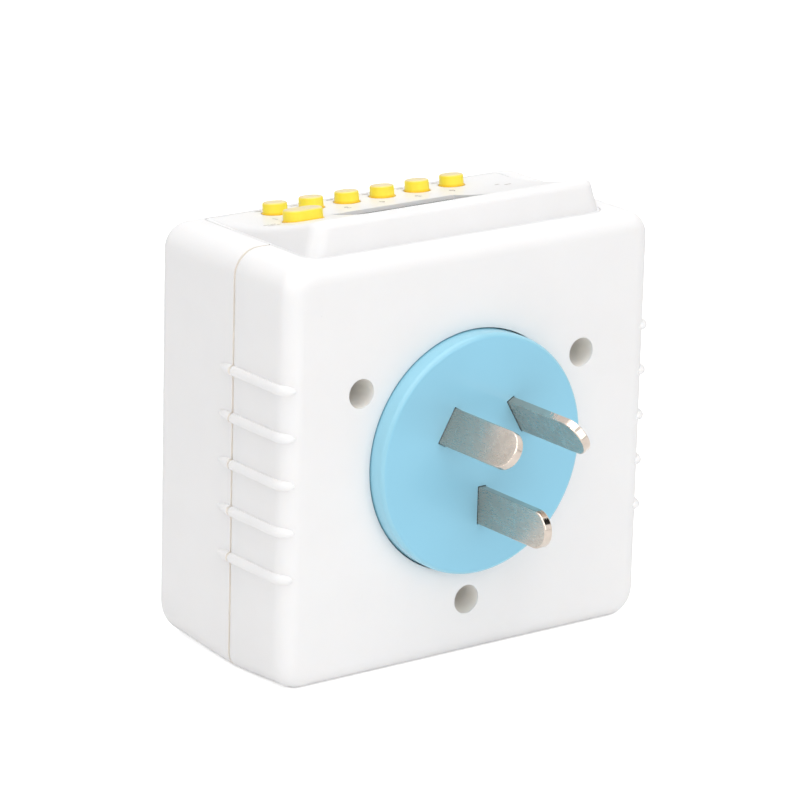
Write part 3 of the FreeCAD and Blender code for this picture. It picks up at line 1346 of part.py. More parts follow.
os.makedirs("parts", exist_ok=True)
for node, shape in build_nodes().items():
    shape.exportStep("parts/%s.step" % node)
    print("%-22s solids %d  volume %.2f" % (node, len(shape.Solids), shape.Volume))
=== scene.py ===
"""Looks of a plug-in digital timer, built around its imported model.

Everything is in metres, in the frame of the model: +Y points out of the plug face, +Z is up,
and the origin is the centre of the pin layout on the outer face of the plug disc.
"""

from __future__ import annotations

import json
import logging
import math
from dataclasses import dataclass
from enum import Enum

import bmesh
import bpy
from mathutils import Matrix, Vector
from mathutils.bvhtree import BVHTree


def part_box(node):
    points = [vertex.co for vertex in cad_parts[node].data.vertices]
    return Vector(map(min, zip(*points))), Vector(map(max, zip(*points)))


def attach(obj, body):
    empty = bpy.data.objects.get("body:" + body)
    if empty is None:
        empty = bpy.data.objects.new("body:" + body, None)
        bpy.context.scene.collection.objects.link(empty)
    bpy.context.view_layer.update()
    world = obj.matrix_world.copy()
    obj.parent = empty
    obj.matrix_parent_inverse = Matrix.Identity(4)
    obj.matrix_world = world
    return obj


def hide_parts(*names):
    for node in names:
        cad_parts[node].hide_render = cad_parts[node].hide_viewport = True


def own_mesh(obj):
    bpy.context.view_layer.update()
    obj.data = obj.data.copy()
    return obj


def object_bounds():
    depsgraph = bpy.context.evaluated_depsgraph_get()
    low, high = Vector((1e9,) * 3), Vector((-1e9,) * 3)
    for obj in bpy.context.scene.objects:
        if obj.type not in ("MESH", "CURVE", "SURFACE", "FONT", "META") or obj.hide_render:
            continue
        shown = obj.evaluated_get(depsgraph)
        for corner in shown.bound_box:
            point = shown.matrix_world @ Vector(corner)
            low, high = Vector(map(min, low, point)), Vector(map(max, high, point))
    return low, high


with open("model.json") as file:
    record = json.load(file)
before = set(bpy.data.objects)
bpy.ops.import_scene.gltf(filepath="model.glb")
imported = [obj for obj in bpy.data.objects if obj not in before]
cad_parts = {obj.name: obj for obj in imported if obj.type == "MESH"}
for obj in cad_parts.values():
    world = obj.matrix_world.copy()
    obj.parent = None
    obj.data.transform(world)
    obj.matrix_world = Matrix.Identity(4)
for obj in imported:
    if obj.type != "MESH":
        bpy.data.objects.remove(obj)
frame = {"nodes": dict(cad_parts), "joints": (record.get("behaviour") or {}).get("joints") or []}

CAD_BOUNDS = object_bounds()
MM = 0.001

log = logging.getLogger("timer")

Colour = tuple[float, float, float, float]


def tone(red: int, green: int, blue: int) -> Colour:
    """Turns a colour as it is seen on a screen into the linear colour of a shader.

    Args:
        red: Red from 0 to 255.
        green: Green from 0 to 255.
        blue: Blue from 0 to 255.

    Returns:
        The linear colour with full alpha.
    """

    def linear(value: int) -> float:
        """Returns one channel on the linear scale."""
        share = value / 255
        return share / 12.92 if share <= 0.04045 else ((share + 0.055) / 1.055) ** 2.4

    return linear(red), linear(green), linear(blue), 1.0


class Body(Enum):
    """Bodies of the model on which new pieces ride."""

    CASE = "case"


class Pole(Enum):
    """The three poles of the plug and the socket."""

    LIVE = "live"
    NEUTRAL = "neutral"
    EARTH = "earth"


class Key(Enum):
    """The keys of the panel, by the names of their nodes."""

    CLOCK = "key_clock"
    PROGRAM = "key_program"
    DAY = "key_day"
    HOUR = "key_hour"
    MINUTE = "key_minute"
    RECALL = "key_recall"
    MODE = "key_mode"


class Graph:
    """One material's node tree, with short names for the nodes that the finishes share."""

    def __init__(self, name: str) -> None:
        """Starts a material that has a principled shader.

        Args:
            name: Name of the material.
        """
        self.material = bpy.data.materials.new(name)
        self.material.use_nodes = True
        self.nodes = self.material.node_tree.nodes
        self.links = self.material.node_tree.links
        self.nodes.clear()
        output = self.nodes.new("ShaderNodeOutputMaterial")
        self.shader = self.nodes.new("ShaderNodeBsdfPrincipled")
        self.links.new(self.shader.outputs["BSDF"], output.inputs["Surface"])
        self.place = self.nodes.new("ShaderNodeTexCoord").outputs["Object"]

    def set(self, **values: float | Colour) -> None:
        """Sets values on the shader's own sockets.

        Args:
            values: Socket names in lower case with underscores, and their values.
        """
        for name, value in values.items():
            label = name.replace("_", " ").title().replace("Ior", "IOR")
            self.shader.inputs[label].default_value = value

    def feed(self, socket: str, source: bpy.types.NodeSocket) -> None:
        """Links a varying source to one of the shader's sockets.

        Args:
            socket: Name of the shader's socket.
            source: Output that feeds it.
        """
        self.links.new(source, self.shader.inputs[socket])

    def stretched(self, along: tuple[float, float, float]) -> bpy.types.NodeSocket:
        """Coordinates of the object, scaled by axis.

        Args:
            along: Scale along X, Y and Z.

        Returns:
            The scaled coordinates.
        """
        mapping = self.nodes.new("ShaderNodeMapping")
        mapping.inputs["Scale"].default_value = along
        self.links.new(self.place, mapping.inputs["Vector"])
        return mapping.outputs["Vector"]

    def noise(
        self,
        grain: float,
        detail: float = 2.0,
        rough: float = 0.5,
        place: bpy.types.NodeSocket | None = None,
    ) -> bpy.types.NodeSocket:
        """Noise whose features have about the given size.

        Args:
            grain: Size of the features in metres.
            detail: Number of finer octaves.
            rough: Strength of the finer octaves.
            place: Coordinates, or None for those of the object.

        Returns:
            The noise from 0 to 1.
        """
        texture = self.nodes.new("ShaderNodeTexNoise")
        texture.inputs["Scale"].default_value = 1 / grain
        texture.inputs["Detail"].default_value = detail
        texture.inputs["Roughness"].default_value = rough
        self.links.new(place or self.place, texture.inputs["Vector"])
        return texture.outputs[0]

    def cells(self, grain: float) -> bpy.types.NodeSocket:
        """Distance to the nearest of many scattered points.

        Args:
            grain: Spacing of the points in metres.

        Returns:
            The distance, in cells.
        """
        texture = self.nodes.new("ShaderNodeTexVoronoi")
        texture.inputs["Scale"].default_value = 1 / grain
        self.links.new(self.place, texture.inputs["Vector"])
        return texture.outputs["Distance"]

    def curve(
        self, source: bpy.types.NodeSocket, low: float, high: float, start: float, end: float
    ) -> bpy.types.NodeSocket:
        """Maps a range of a source to another range and clamps it.

        Args:
            source: Value to map.
            low: Value that gives start.
            high: Value that gives end.
            start: Result at low.
            end: Result at high.

        Returns:
            The mapped value.
        """
        mapped = self.nodes.new("ShaderNodeMapRange")
        mapped.inputs["From Min"].default_value = low
        mapped.inputs["From Max"].default_value = high
        mapped.inputs["To Min"].default_value = start
        mapped.inputs["To Max"].default_value = end
        self.links.new(source, mapped.inputs["Value"])
        return mapped.outputs["Result"]

    def math(
        self, kind: str, first: bpy.types.NodeSocket, second: bpy.types.NodeSocket | float
    ) -> bpy.types.NodeSocket:
        """Joins two values.

        Args:
            kind: Operation of the node.
            first: First value.
            second: Second value, varying or fixed.

        Returns:
            The result.
        """
        node = self.nodes.new("ShaderNodeMath")
        node.operation = kind
        self.links.new(first, node.inputs[0])
        if isinstance(second, bpy.types.NodeSocket):
            self.links.new(second, node.inputs[1])
        else:
            node.inputs[1].default_value = second
        return node.outputs[0]

    def blend(
        self,
        factor: bpy.types.NodeSocket,
        first: Colour | bpy.types.NodeSocket,
        second: Colour | bpy.types.NodeSocket,
    ) -> bpy.types.NodeSocket:
        """Mixes two colours by a varying factor.

        Args:
            factor: 0 gives the first colour and 1 the second.
            first: First colour, fixed or varying.
            second: Second colour, fixed or varying.

        Returns:
            The mixed colour.
        """
        mix = self.nodes.new("ShaderNodeMix")
        mix.data_type = "RGBA"
        self.links.new(factor, mix.inputs[0])
        for value, socket in ((first, mix.inputs[6]), (second, mix.inputs[7])):
            if isinstance(value, bpy.types.NodeSocket):
                self.links.new(value, socket)
            else:
                socket.default_value = value
        return mix.outputs[2]

    def axis(self, name: str, facing: bool = False) -> bpy.types.NodeSocket:
        """One coordinate of a point of the object, or of the direction that it faces.

        Args:
            name: X, Y or Z.
            facing: True for the direction that the surface faces, False for its place.

        Returns:
            The coordinate.
        """
        split = self.nodes.new("ShaderNodeSeparateXYZ")
        source = self.place
        if facing:
            source = self.nodes.new("ShaderNodeTexCoord").outputs["Normal"]
        self.links.new(source, split.inputs[0])
        return split.outputs[name]

    def rise(self, direction: Vector) -> bpy.types.NodeSocket:
        """Distance of the surface along a direction, from the origin of the model.

        Args:
            direction: Unit direction.

        Returns:
            The distance in metres.
        """
        product = self.nodes.new("ShaderNodeVectorMath")
        product.operation = "DOT_PRODUCT"
        product.inputs[1].default_value = direction
        self.links.new(self.place, product.inputs[0])
        return product.outputs["Value"]

    def relief(
        self,
        height: bpy.types.NodeSocket,
        depth: float,
        below: bpy.types.NodeSocket | None = None,
    ) -> bpy.types.NodeSocket:
        """Bump of a real depth.

        Args:
            height: Height from 0 to 1.
            depth: Depth in metres that a height of 1 stands for.
            below: Relief that this one lies on, or None.

        Returns:
            The bent direction of the surface.
        """
        bump = self.nodes.new("ShaderNodeBump")
        bump.inputs["Distance"].default_value = depth
        self.links.new(height, bump.inputs["Height"])
        if below is not None:
            self.links.new(below, bump.inputs["Normal"])
        return bump.outputs["Normal"]


@dataclass(frozen=True)
class MouldedPlastic:
    """Injection-moulded plastic with a fine spark-eroded skin and a few specks of dust.

    The two walls of a seam and the inside of the case can have lighter tones of their own, painted
    light that lifts their shade, and the rounded edges a paler tone, a painted reflection.
    """

    name: str
    colour: Colour
    shade: Colour
    roughness: float = 0.42
    cloud: float = 14 * MM
    grain: float = 0.35 * MM
    depth: float = 0.006 * MM
    peel: float = 6.0 * MM
    peel_depth: float = 0.012 * MM
    speck: Colour | None = None
    speck_spacing: float = 5.5 * MM
    speck_size: float = 0.018
    speck_patch: float = 9 * MM
    translucency: float = 0.0
    scatter: float = 0.8 * MM
    # Lighter tone for the walls of the seam: painted light that lifts the shade in the gap.
    seam: Colour | None = None
    seam_place: float = 0.0
    seam_reach: float = 0.27 * MM
    seam_border: float = 0.02 * MM
    # Lighter tone for the inside of the case and its screw wells: painted light that lifts their
    # shade.
    inside: Colour | None = None
    inside_reach: float = 31 * MM
    inside_below: float = -3.5 * MM
    inside_above: float = -37.0 * MM
    inside_border: float = 0.1 * MM
    # Paler tone on the rounded edges, where they turn away from facing along Y: a painted reflection.
    edge: Colour | None = None
    edge_turn: tuple[float, float] = (0.85, 0.98)

    def build(self) -> bpy.types.Material:
        """Makes the material.

        Returns:
            The finished material.
        """
        graph = Graph(self.name)
        cloud = graph.noise(self.cloud, 3.0, 0.55)
        skin = graph.blend(graph.curve(cloud, 0.35, 0.7, 0, 1), self.colour, self.shade)
        # Painted light: the walls of the seam get a lighter tone against the shade in the gap.
        if self.seam is not None:
            skin = graph.blend(self.in_seam(graph), skin, self.seam)
        # Painted light: surfaces inside the case and in the screw wells get a lighter tone against
        # their shade.
        if self.inside is not None:
            skin = graph.blend(self.in_case(graph), skin, self.inside)
        # Painted reflection: a paler tone where the surface turns away from facing along Y.
        if self.edge is not None:
            square = graph.math("ABSOLUTE", graph.axis("Y", facing=True), 0.0)
            skin = graph.blend(graph.curve(square, *self.edge_turn, 1, 0), skin, self.edge)
        if self.speck is not None:
            near = graph.curve(graph.cells(self.speck_spacing), 0, self.speck_size, 1, 0)
            rare = graph.curve(graph.noise(self.speck_patch, 0.0), 0.56, 0.6, 0, 0.7)
            skin = graph.blend(graph.math("MULTIPLY", near, rare), skin, self.speck)
        graph.feed("Base Color", skin)
        fine = graph.noise(self.grain, 3.0, 0.6)
        spread = self.roughness * 0.15
        rough = graph.curve(fine, 0.3, 0.7, self.roughness - spread, self.roughness + spread)
        graph.feed("Roughness", rough)
        waves = graph.relief(graph.noise(self.peel, 1.0), self.peel_depth)
        graph.feed("Normal", graph.relief(fine, self.depth, waves))
        graph.set(ior=1.5)
        if self.translucency > 0:
            graph.set(
                subsurface_weight=self.translucency,
                subsurface_radius=(1.0, 0.9, 0.8),
                subsurface_scale=self.scatter,
            )
        return graph.material

    def in_seam(self, graph: Graph) -> bpy.types.NodeSocket:
        """Finds the walls of the seam, by their place along Y.

        Args:
            graph: Node tree of the material.

        Returns:
            1 in the seam and 0 elsewhere.
        """
        beside = graph.math("SUBTRACT", graph.axis("Y"), self.seam_place)
        apart = graph.math("ABSOLUTE", beside, 0.0)
        return graph.curve(apart, self.seam_reach, self.seam_reach + self.seam_border, 1, 0)

    def in_case(self, graph: Graph) -> bpy.types.NodeSocket:
        """Finds the surfaces that lie within the case.

        Args:
            graph: Node tree of the material.

        Returns:
            1 inside the case and 0 on its outer faces.
        """
        across = graph.math("ABSOLUTE", graph.axis("X"), 0.0)
        upward = graph.math("ABSOLUTE", graph.axis("Z"), 0.0)
        reach = graph.math("MAXIMUM", across, upward)
        limits = []
        for source, limit, start in (
            (reach, self.inside_reach, 1),
            (graph.axis("Y"), self.inside_below, 1),
            (graph.axis("Y"), self.inside_above, 0),
        ):
            limits.append(graph.curve(source, limit, limit + self.inside_border, start, 1 - start))
        within = graph.math("MULTIPLY", limits[1], limits[2])
        return graph.math("MULTIPLY", limits[0], within)


@dataclass(frozen=True)
class KeyPlastic:
    """Bright key plastic, with painted shade that deepens its colour towards the collar and a painted
    highlight that makes its top paler.
    """

    name: str
    colour: Colour
    # Deeper colour towards the collar: painted shade.
    collar_shade: Colour
    # Paler colour on the top: a painted highlight.
    wear_and_highlight: Colour
    deep: float = 1.85 * MM
    light: float = 1.5 * MM
    highlight_depth: float = 0.3 * MM
    roughness: float = 0.4
    grain: float = 0.25 * MM
    depth: float = 0.005 * MM
    translucency: float = 0.25
    scatter: float = 0.5 * MM

    def build(self, normal: Vector, top: float) -> bpy.types.Material:
        """Makes the material.

        Args:
            normal: Direction out of the plane of the keys.
            top: Distance of the keys' tops along it.

        Returns:
            The finished material.
        """
        graph = Graph(self.name)
        rise = graph.rise(normal)
        # Painted shade deepens the colour towards the collar, and a painted highlight pales the top.
        height = graph.curve(rise, top - self.deep, top - self.light, 0, 1)
        top_highlight_mask = graph.curve(rise, top - self.highlight_depth, top, 0, 1)
        skin = graph.blend(height, self.collar_shade, self.colour)
        graph.feed("Base Color", graph.blend(top_highlight_mask, skin, self.wear_and_highlight))
        fine = graph.noise(self.grain, 3.0, 0.6)
        graph.feed("Roughness", graph.curve(fine, 0.3, 0.7, self.roughness, self.roughness + 0.1))
        graph.feed("Normal", graph.relief(fine, self.depth))
        graph.set(subsurface_weight=self.translucency, subsurface_radius=(1.0, 0.7, 0.2))
        graph.set(subsurface_scale=self.scatter)
        return graph.material


@dataclass(frozen=True)
class PlatedMetal:
    """Plated or bare metal with fine lines along one axis, faint clouds and nicked upper edges."""

    name: str
    colour: Colour
    shade: Colour
    roughness: float = 0.28
    lines: tuple[float, float, float] = (1.0, 0.06, 1.0)
    line_grain: float = 0.12 * MM
    line_depth: float = 0.0025 * MM
    cloud: float = 2.2 * MM
    dent: float = 0.006 * MM
    dent_grain: float = 1.1 * MM
    nick: float = 0.0
    nick_grain: float = 0.5 * MM
    edge_polish: float = 1.0
    # Darker, browner colour towards the plug face: painted shade.
    root_shade: Colour | None = None
    root_shade_reach: float = 16 * MM

    def build(self) -> bpy.types.Material:
        """Makes the material.

        Returns:
            The finished material.
        """
        graph = Graph(self.name)
        cloud = graph.noise(self.cloud, 3.0, 0.6)
        skin = graph.blend(graph.curve(cloud, 0.35, 0.7, 0, 1), self.colour, self.shade)
        # Painted shade: the colour darkens towards the plug face, fading out over the reach along Y.
        if self.root_shade is not None:
            out = graph.curve(graph.axis("Y"), 0, self.root_shade_reach, 0, 1)
            skin = graph.blend(out, self.root_shade, skin)
        graph.feed("Base Color", skin)
        lines = graph.noise(self.line_grain, 2.0, 0.6, graph.stretched(self.lines))
        smear = graph.math("MULTIPLY", cloud, lines)
        low = self.roughness * 0.8
        rough = graph.curve(smear, 0.1, 0.45, low, self.roughness * 1.3)
        dents = graph.relief(graph.noise(self.dent_grain, 2.0), self.dent)
        if self.nick > 0:
            upward = graph.curve(graph.axis("Z", facing=True), 0.6, 0.75, 0, 1)
            outward = graph.curve(graph.axis("Y", facing=True), 0.1, 0.3, 0, 1)
            edge = graph.math("MAXIMUM", upward, outward)
            wear_and_highlight = graph.curve(edge, 0, 1, 1, self.edge_polish)
            rough = graph.math("MULTIPLY", rough, wear_and_highlight)
            nicks = graph.math("MULTIPLY", graph.noise(self.nick_grain, 1.0), upward)
            dents = graph.relief(nicks, self.nick, dents)
        graph.feed("Roughness", rough)
        graph.feed("Normal", graph.relief(lines, self.line_depth, dents))
        graph.set(metallic=1.0, ior=1.5)
        return graph.material


@dataclass(frozen=True)
class WoundWire:
    """Enamelled wire, wound closely round the Y axis."""

    name: str
    colour: Colour
    gap: Colour
    wire: float = 0.22 * MM

    def build(self) -> bpy.types.Material:
        """Makes the material.

        Returns:
            The finished material.
        """
        graph = Graph(self.name)
        turns = graph.math("PINGPONG", graph.math("MULTIPLY", graph.axis("Y"), 2 / self.wire), 1.0)
        graph.feed("Base Color", graph.blend(turns, self.gap, self.colour))
        graph.feed("Roughness", graph.curve(graph.noise(0.6 * MM), 0.3, 0.7, 0.25, 0.4))
        graph.feed("Normal", graph.relief(turns, self.wire * 0.4))
        graph.set(metallic=0.85, coat_weight=0.4, coat_roughness=0.1)
        return graph.material


@dataclass(frozen=True)
class PrintedBoard:
    """Board with green solder mask over etched tracks."""

    name: str
    mask: Colour
    track: Colour
    pitch: float = 2.54 * MM

    def build(self) -> bpy.types.Material:
        """Makes the material.

        Returns:
            The finished material.
        """
        graph = Graph(self.name)
        tracks = graph.nodes.new("ShaderNodeTexBrick")
        tracks.inputs["Scale"].default_value = 1 / self.pitch
        tracks.inputs["Mortar Size"].default_value = 0.12
        tracks.inputs["Mortar Smooth"].default_value = 0.3
        tracks.inputs["Brick Width"].default_value = 3.0
        turned = graph.nodes.new("ShaderNodeMapping")
        turned.inputs["Rotation"].default_value = (math.radians(90), 0, 0)
        graph.links.new(graph.place, turned.inputs["Vector"])
        graph.links.new(turned.outputs["Vector"], tracks.inputs["Vector"])
        copper = tracks.outputs["Fac"]
        graph.feed("Base Color", graph.blend(copper, self.mask, self.track))
        graph.feed("Roughness", graph.curve(graph.noise(0.8 * MM), 0.3, 0.7, 0.3, 0.42))
        graph.feed("Normal", graph.relief(copper, 0.03 * MM))
        graph.set(coat_weight=0.5, coat_roughness=0.15)
        return graph.material


@dataclass(frozen=True)
class Speckled:
    """Dull or glossy solid colour with a faint grain, for small parts on the boards."""

    name: str
    colour: Colour
    shade: Colour
    roughness: float = 0.5
    grain: float = 0.5 * MM
    depth: float = 0.01 * MM
    coat: float = 0.0
    spread: float = 0.06

    def build(self) -> bpy.types.Material:
        """Makes the material.

        Returns:
            The finished material.
        """
        graph = Graph(self.name)
        grain = graph.noise(self.grain, 4.0, 0.6)
        patches = graph.curve(grain, 0.3, 0.7, 0, 1)
        graph.feed("Base Color", graph.blend(patches, self.colour, self.shade))
        low, high = self.roughness - self.spread, self.roughness + self.spread
        graph.feed("Roughness", graph.curve(grain, 0.3, 0.7, low, high))
        graph.feed("Normal", graph.relief(grain, self.depth))
        graph.set(coat_weight=self.coat, coat_roughness=0.12)
        return graph.material


@dataclass(frozen=True)
class ClearWindow:
    """Clear moulded window with faint flow marks and finger smears."""

    name: str
    colour: Colour

    def build(self) -> bpy.types.Material:
        """Makes the material.

        Returns:
            The finished material.
        """
        graph = Graph(self.name)
        smear = graph.noise(4 * MM, 3.0, 0.6)
        graph.feed("Roughness", graph.curve(smear, 0.35, 0.7, 0.03, 0.12))
        graph.feed("Normal", graph.relief(graph.noise(5 * MM, 1.0), 0.01 * MM))
        graph.set(base_color=self.colour, ior=1.49, transmission_weight=1.0, specular_ior_level=0.2)
        return graph.material


class Finishes:
    """Every finish of the timer, built once."""

    def __init__(self) -> None:
        """Builds the materials."""
        dust = tone(176, 176, 178)
        self.case = MouldedPlastic(
            "case_white", tone(240, 239, 239), tone(238, 237, 237), speck=dust, translucency=0.3,
            # The near-white seam tone is painted light that lifts the shade in the gap between the
            # shells.
            scatter=1.4 * MM, seam=tone(254, 248, 241), seam_place=self.seam_row(),
            # The near-white inside tone is painted light that lifts the shade in the screw wells and
            # inside the case.
            inside=tone(254, 251, 245),
        ).build()
        self.panel = MouldedPlastic(
            "panel_white", tone(239, 238, 238), tone(237, 236, 236), 0.36, speck=dust,
            translucency=0.3, scatter=1.4 * MM,
        ).build()
        self.disc = MouldedPlastic(
            "disc_blue", tone(143, 205, 230), tone(142, 204, 229), 0.16, depth=0.002 * MM,
            # A paler tone on the disc's rounded rim: a painted reflection.
            edge=tone(151, 207, 227),
        ).build()
        # The key's deeper collar tone is painted shade and its pale top tone a painted highlight.
        self.key = KeyPlastic(
            "key_yellow", tone(252, 230, 66), tone(250, 205, 36), tone(228, 212, 160)
        )
        self.nickel = PlatedMetal(
            "pin_nickel", tone(225, 212, 200), tone(208, 194, 182), 0.28, line_depth=0.0014 * MM,
            line_grain=0.08 * MM, dent=0.001 * MM, nick=0.03 * MM, edge_polish=0.3,
            # The darker, browner tone at the pins' roots is painted shade.
            root_shade=tone(207, 180, 166),
        ).build()
        self.steel = PlatedMetal(
            "screw_steel", tone(190, 191, 194), tone(164, 165, 168), 0.3, (1.0, 1.0, 1.0)
        ).build()
        self.spring = PlatedMetal(
            "spring_steel", tone(176, 178, 182), tone(150, 151, 155), 0.25, (0.08, 1.0, 1.0)
        ).build()
        self.iron = PlatedMetal(
            "relay_iron", tone(168, 167, 165), tone(146, 145, 142), 0.35, (1.0, 0.1, 1.0)
        ).build()
        self.brass = PlatedMetal(
            "contact_brass", tone(222, 189, 120), tone(205, 170, 98), 0.26, (1.0, 0.1, 1.0)
        ).build()
        self.lens = ClearWindow("lens_clear", tone(200, 202, 202)).build()
        self.glass = Speckled(
            "display_glass", tone(126, 136, 118), tone(120, 130, 112), 0.14, coat=0.8
        ).build()
        self.mask = Speckled(
            "display_mask", tone(26, 27, 28), tone(20, 21, 22), 0.2, coat=0.8
        ).build()
        self.ink = Speckled("print_grey", tone(188, 182, 177), tone(178, 172, 167), 0.6).build()
        self.segment = Speckled("display_segment", tone(34, 36, 34), tone(28, 30, 28), 0.3).build()
        self.holder = Speckled("holder_black", tone(44, 44, 46), tone(36, 36, 38), 0.5).build()
        self.switch = Speckled("switch_black", tone(40, 40, 42), tone(32, 32, 34), 0.4).build()
        self.chip = Speckled("chip_black", tone(34, 34, 35), tone(27, 27, 28), 0.55, 0.2 * MM).build()
        self.board = PrintedBoard("board_green", tone(30, 104, 62), tone(58, 140, 84)).build()
        self.insulator = MouldedPlastic(
            "insulator_white", tone(226, 225, 218), tone(218, 217, 208), 0.5
        ).build()
        self.shutter = MouldedPlastic(
            "shutter_white", tone(236, 235, 230), tone(230, 229, 224), 0.45
        ).build()
        self.relay = Speckled("relay_black", tone(40, 41, 44), tone(32, 33, 36), 0.38).build()
        self.coil = WoundWire("coil_copper", tone(196, 112, 62), tone(92, 44, 22)).build()
        self.film = Speckled("capacitor_yellow", tone(222, 172, 62), tone(210, 158, 50), 0.42).build()
        self.can = Speckled("can_sleeve", tone(40, 44, 66), tone(34, 37, 56), 0.25, coat=0.6).build()
        self.absorber = Speckled(
            "absorber_blue", tone(52, 88, 158), tone(44, 76, 142), 0.35, 0.9 * MM, 0.03 * MM, 0.5
        ).build()
        self.battery = Speckled(
            "battery_sleeve", tone(84, 158, 96), tone(74, 144, 86), 0.25, coat=0.6
        ).build()
        self.cable = Speckled("cable_grey", tone(168, 168, 168), tone(150, 150, 150), 0.5).build()
        self.tag = PlatedMetal("tag_steel", tone(196, 196, 196), tone(176, 176, 176), 0.28).build()

    def seam_row(self) -> float:
        """Finds the middle of the gap between the shells, where the rear one's bosses start."""
        return min(v.co.y for v in frame["nodes"]["back_shell"].data.vertices)


def dress(node: str, material: bpy.types.Material) -> None:
    """Gives a node of the model its finish.

    Args:
        node: Name of the node.
        material: Finish for all of it.
    """
    mesh = frame["nodes"][node].data
    mesh.materials.clear()
    mesh.materials.append(material)
    log.info("%s dressed in %s", node, material.name)


def mesh_piece(
    name: str, shape: bmesh.types.BMesh, material: bpy.types.Material, body: Body
) -> None:
    """Turns a mesh into a piece that rides on a body.

    Args:
        name: Name of the piece.
        shape: Mesh in the frame of the model, freed here.
        material: Finish of the piece.
        body: Body that carries it.
    """
    mesh = bpy.data.meshes.new(name)
    bmesh.ops.recalc_face_normals(shape, faces=shape.faces)
    shape.to_mesh(mesh)
    shape.free()
    mesh.materials.append(material)
    piece = bpy.data.objects.new(name, mesh)
    bpy.context.scene.collection.objects.link(piece)
    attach(piece, body.value)
    log.info("%s made with %d faces", name, len(mesh.polygons))


def rectangle(x0: float, y0: float, x1: float, y1: float) -> list[tuple[float, float]]:
    """Returns the corners of a rectangle in order."""
    return [(x0, y0), (x1, y0), (x1, y1), (x0, y1)]


def close_plate(
    shape: bmesh.types.BMesh, lower: list[bmesh.types.BMVert], upper: list[bmesh.types.BMVert]
) -> None:
    """Adds the faces of a thin plate.

    Args:
        shape: Mesh to add to.
        lower: Corners of its lower side, in order.
        upper: Corners of its upper side, in the same order.
    """
    shape.faces.new(upper)
    shape.faces.new(list(reversed(lower)))
    for index in range(len(lower)):
        after = (index + 1) % len(lower)
        shape.faces.new((lower[index], lower[after], upper[after], upper[index]))


@dataclass
class Case:
    """The two shells of the case and the screws in its wells."""

    finishes: Finishes

    def build(self) -> None:
        """Dresses the shells and the screws."""
        dress("back_shell", self.finishes.case)
        dress("front_shell", self.finishes.case)
        dress("case_screws", self.finishes.steel)


@dataclass
class Slope:
    """The sloping plane of the keys and the display."""

    normal: Vector
    uphill: Vector

    @classmethod
    def of_keys(cls) -> Slope:
        """Reads the plane from the travel of the first key.

        Returns:
            The plane's directions.
        """
        travel = next(j for j in frame["joints"] if j["name"].startswith("key_"))["axis"]
        normal = -Vector(travel).normalized()
        return cls(normal, normal.cross(Vector((1, 0, 0))).normalized())


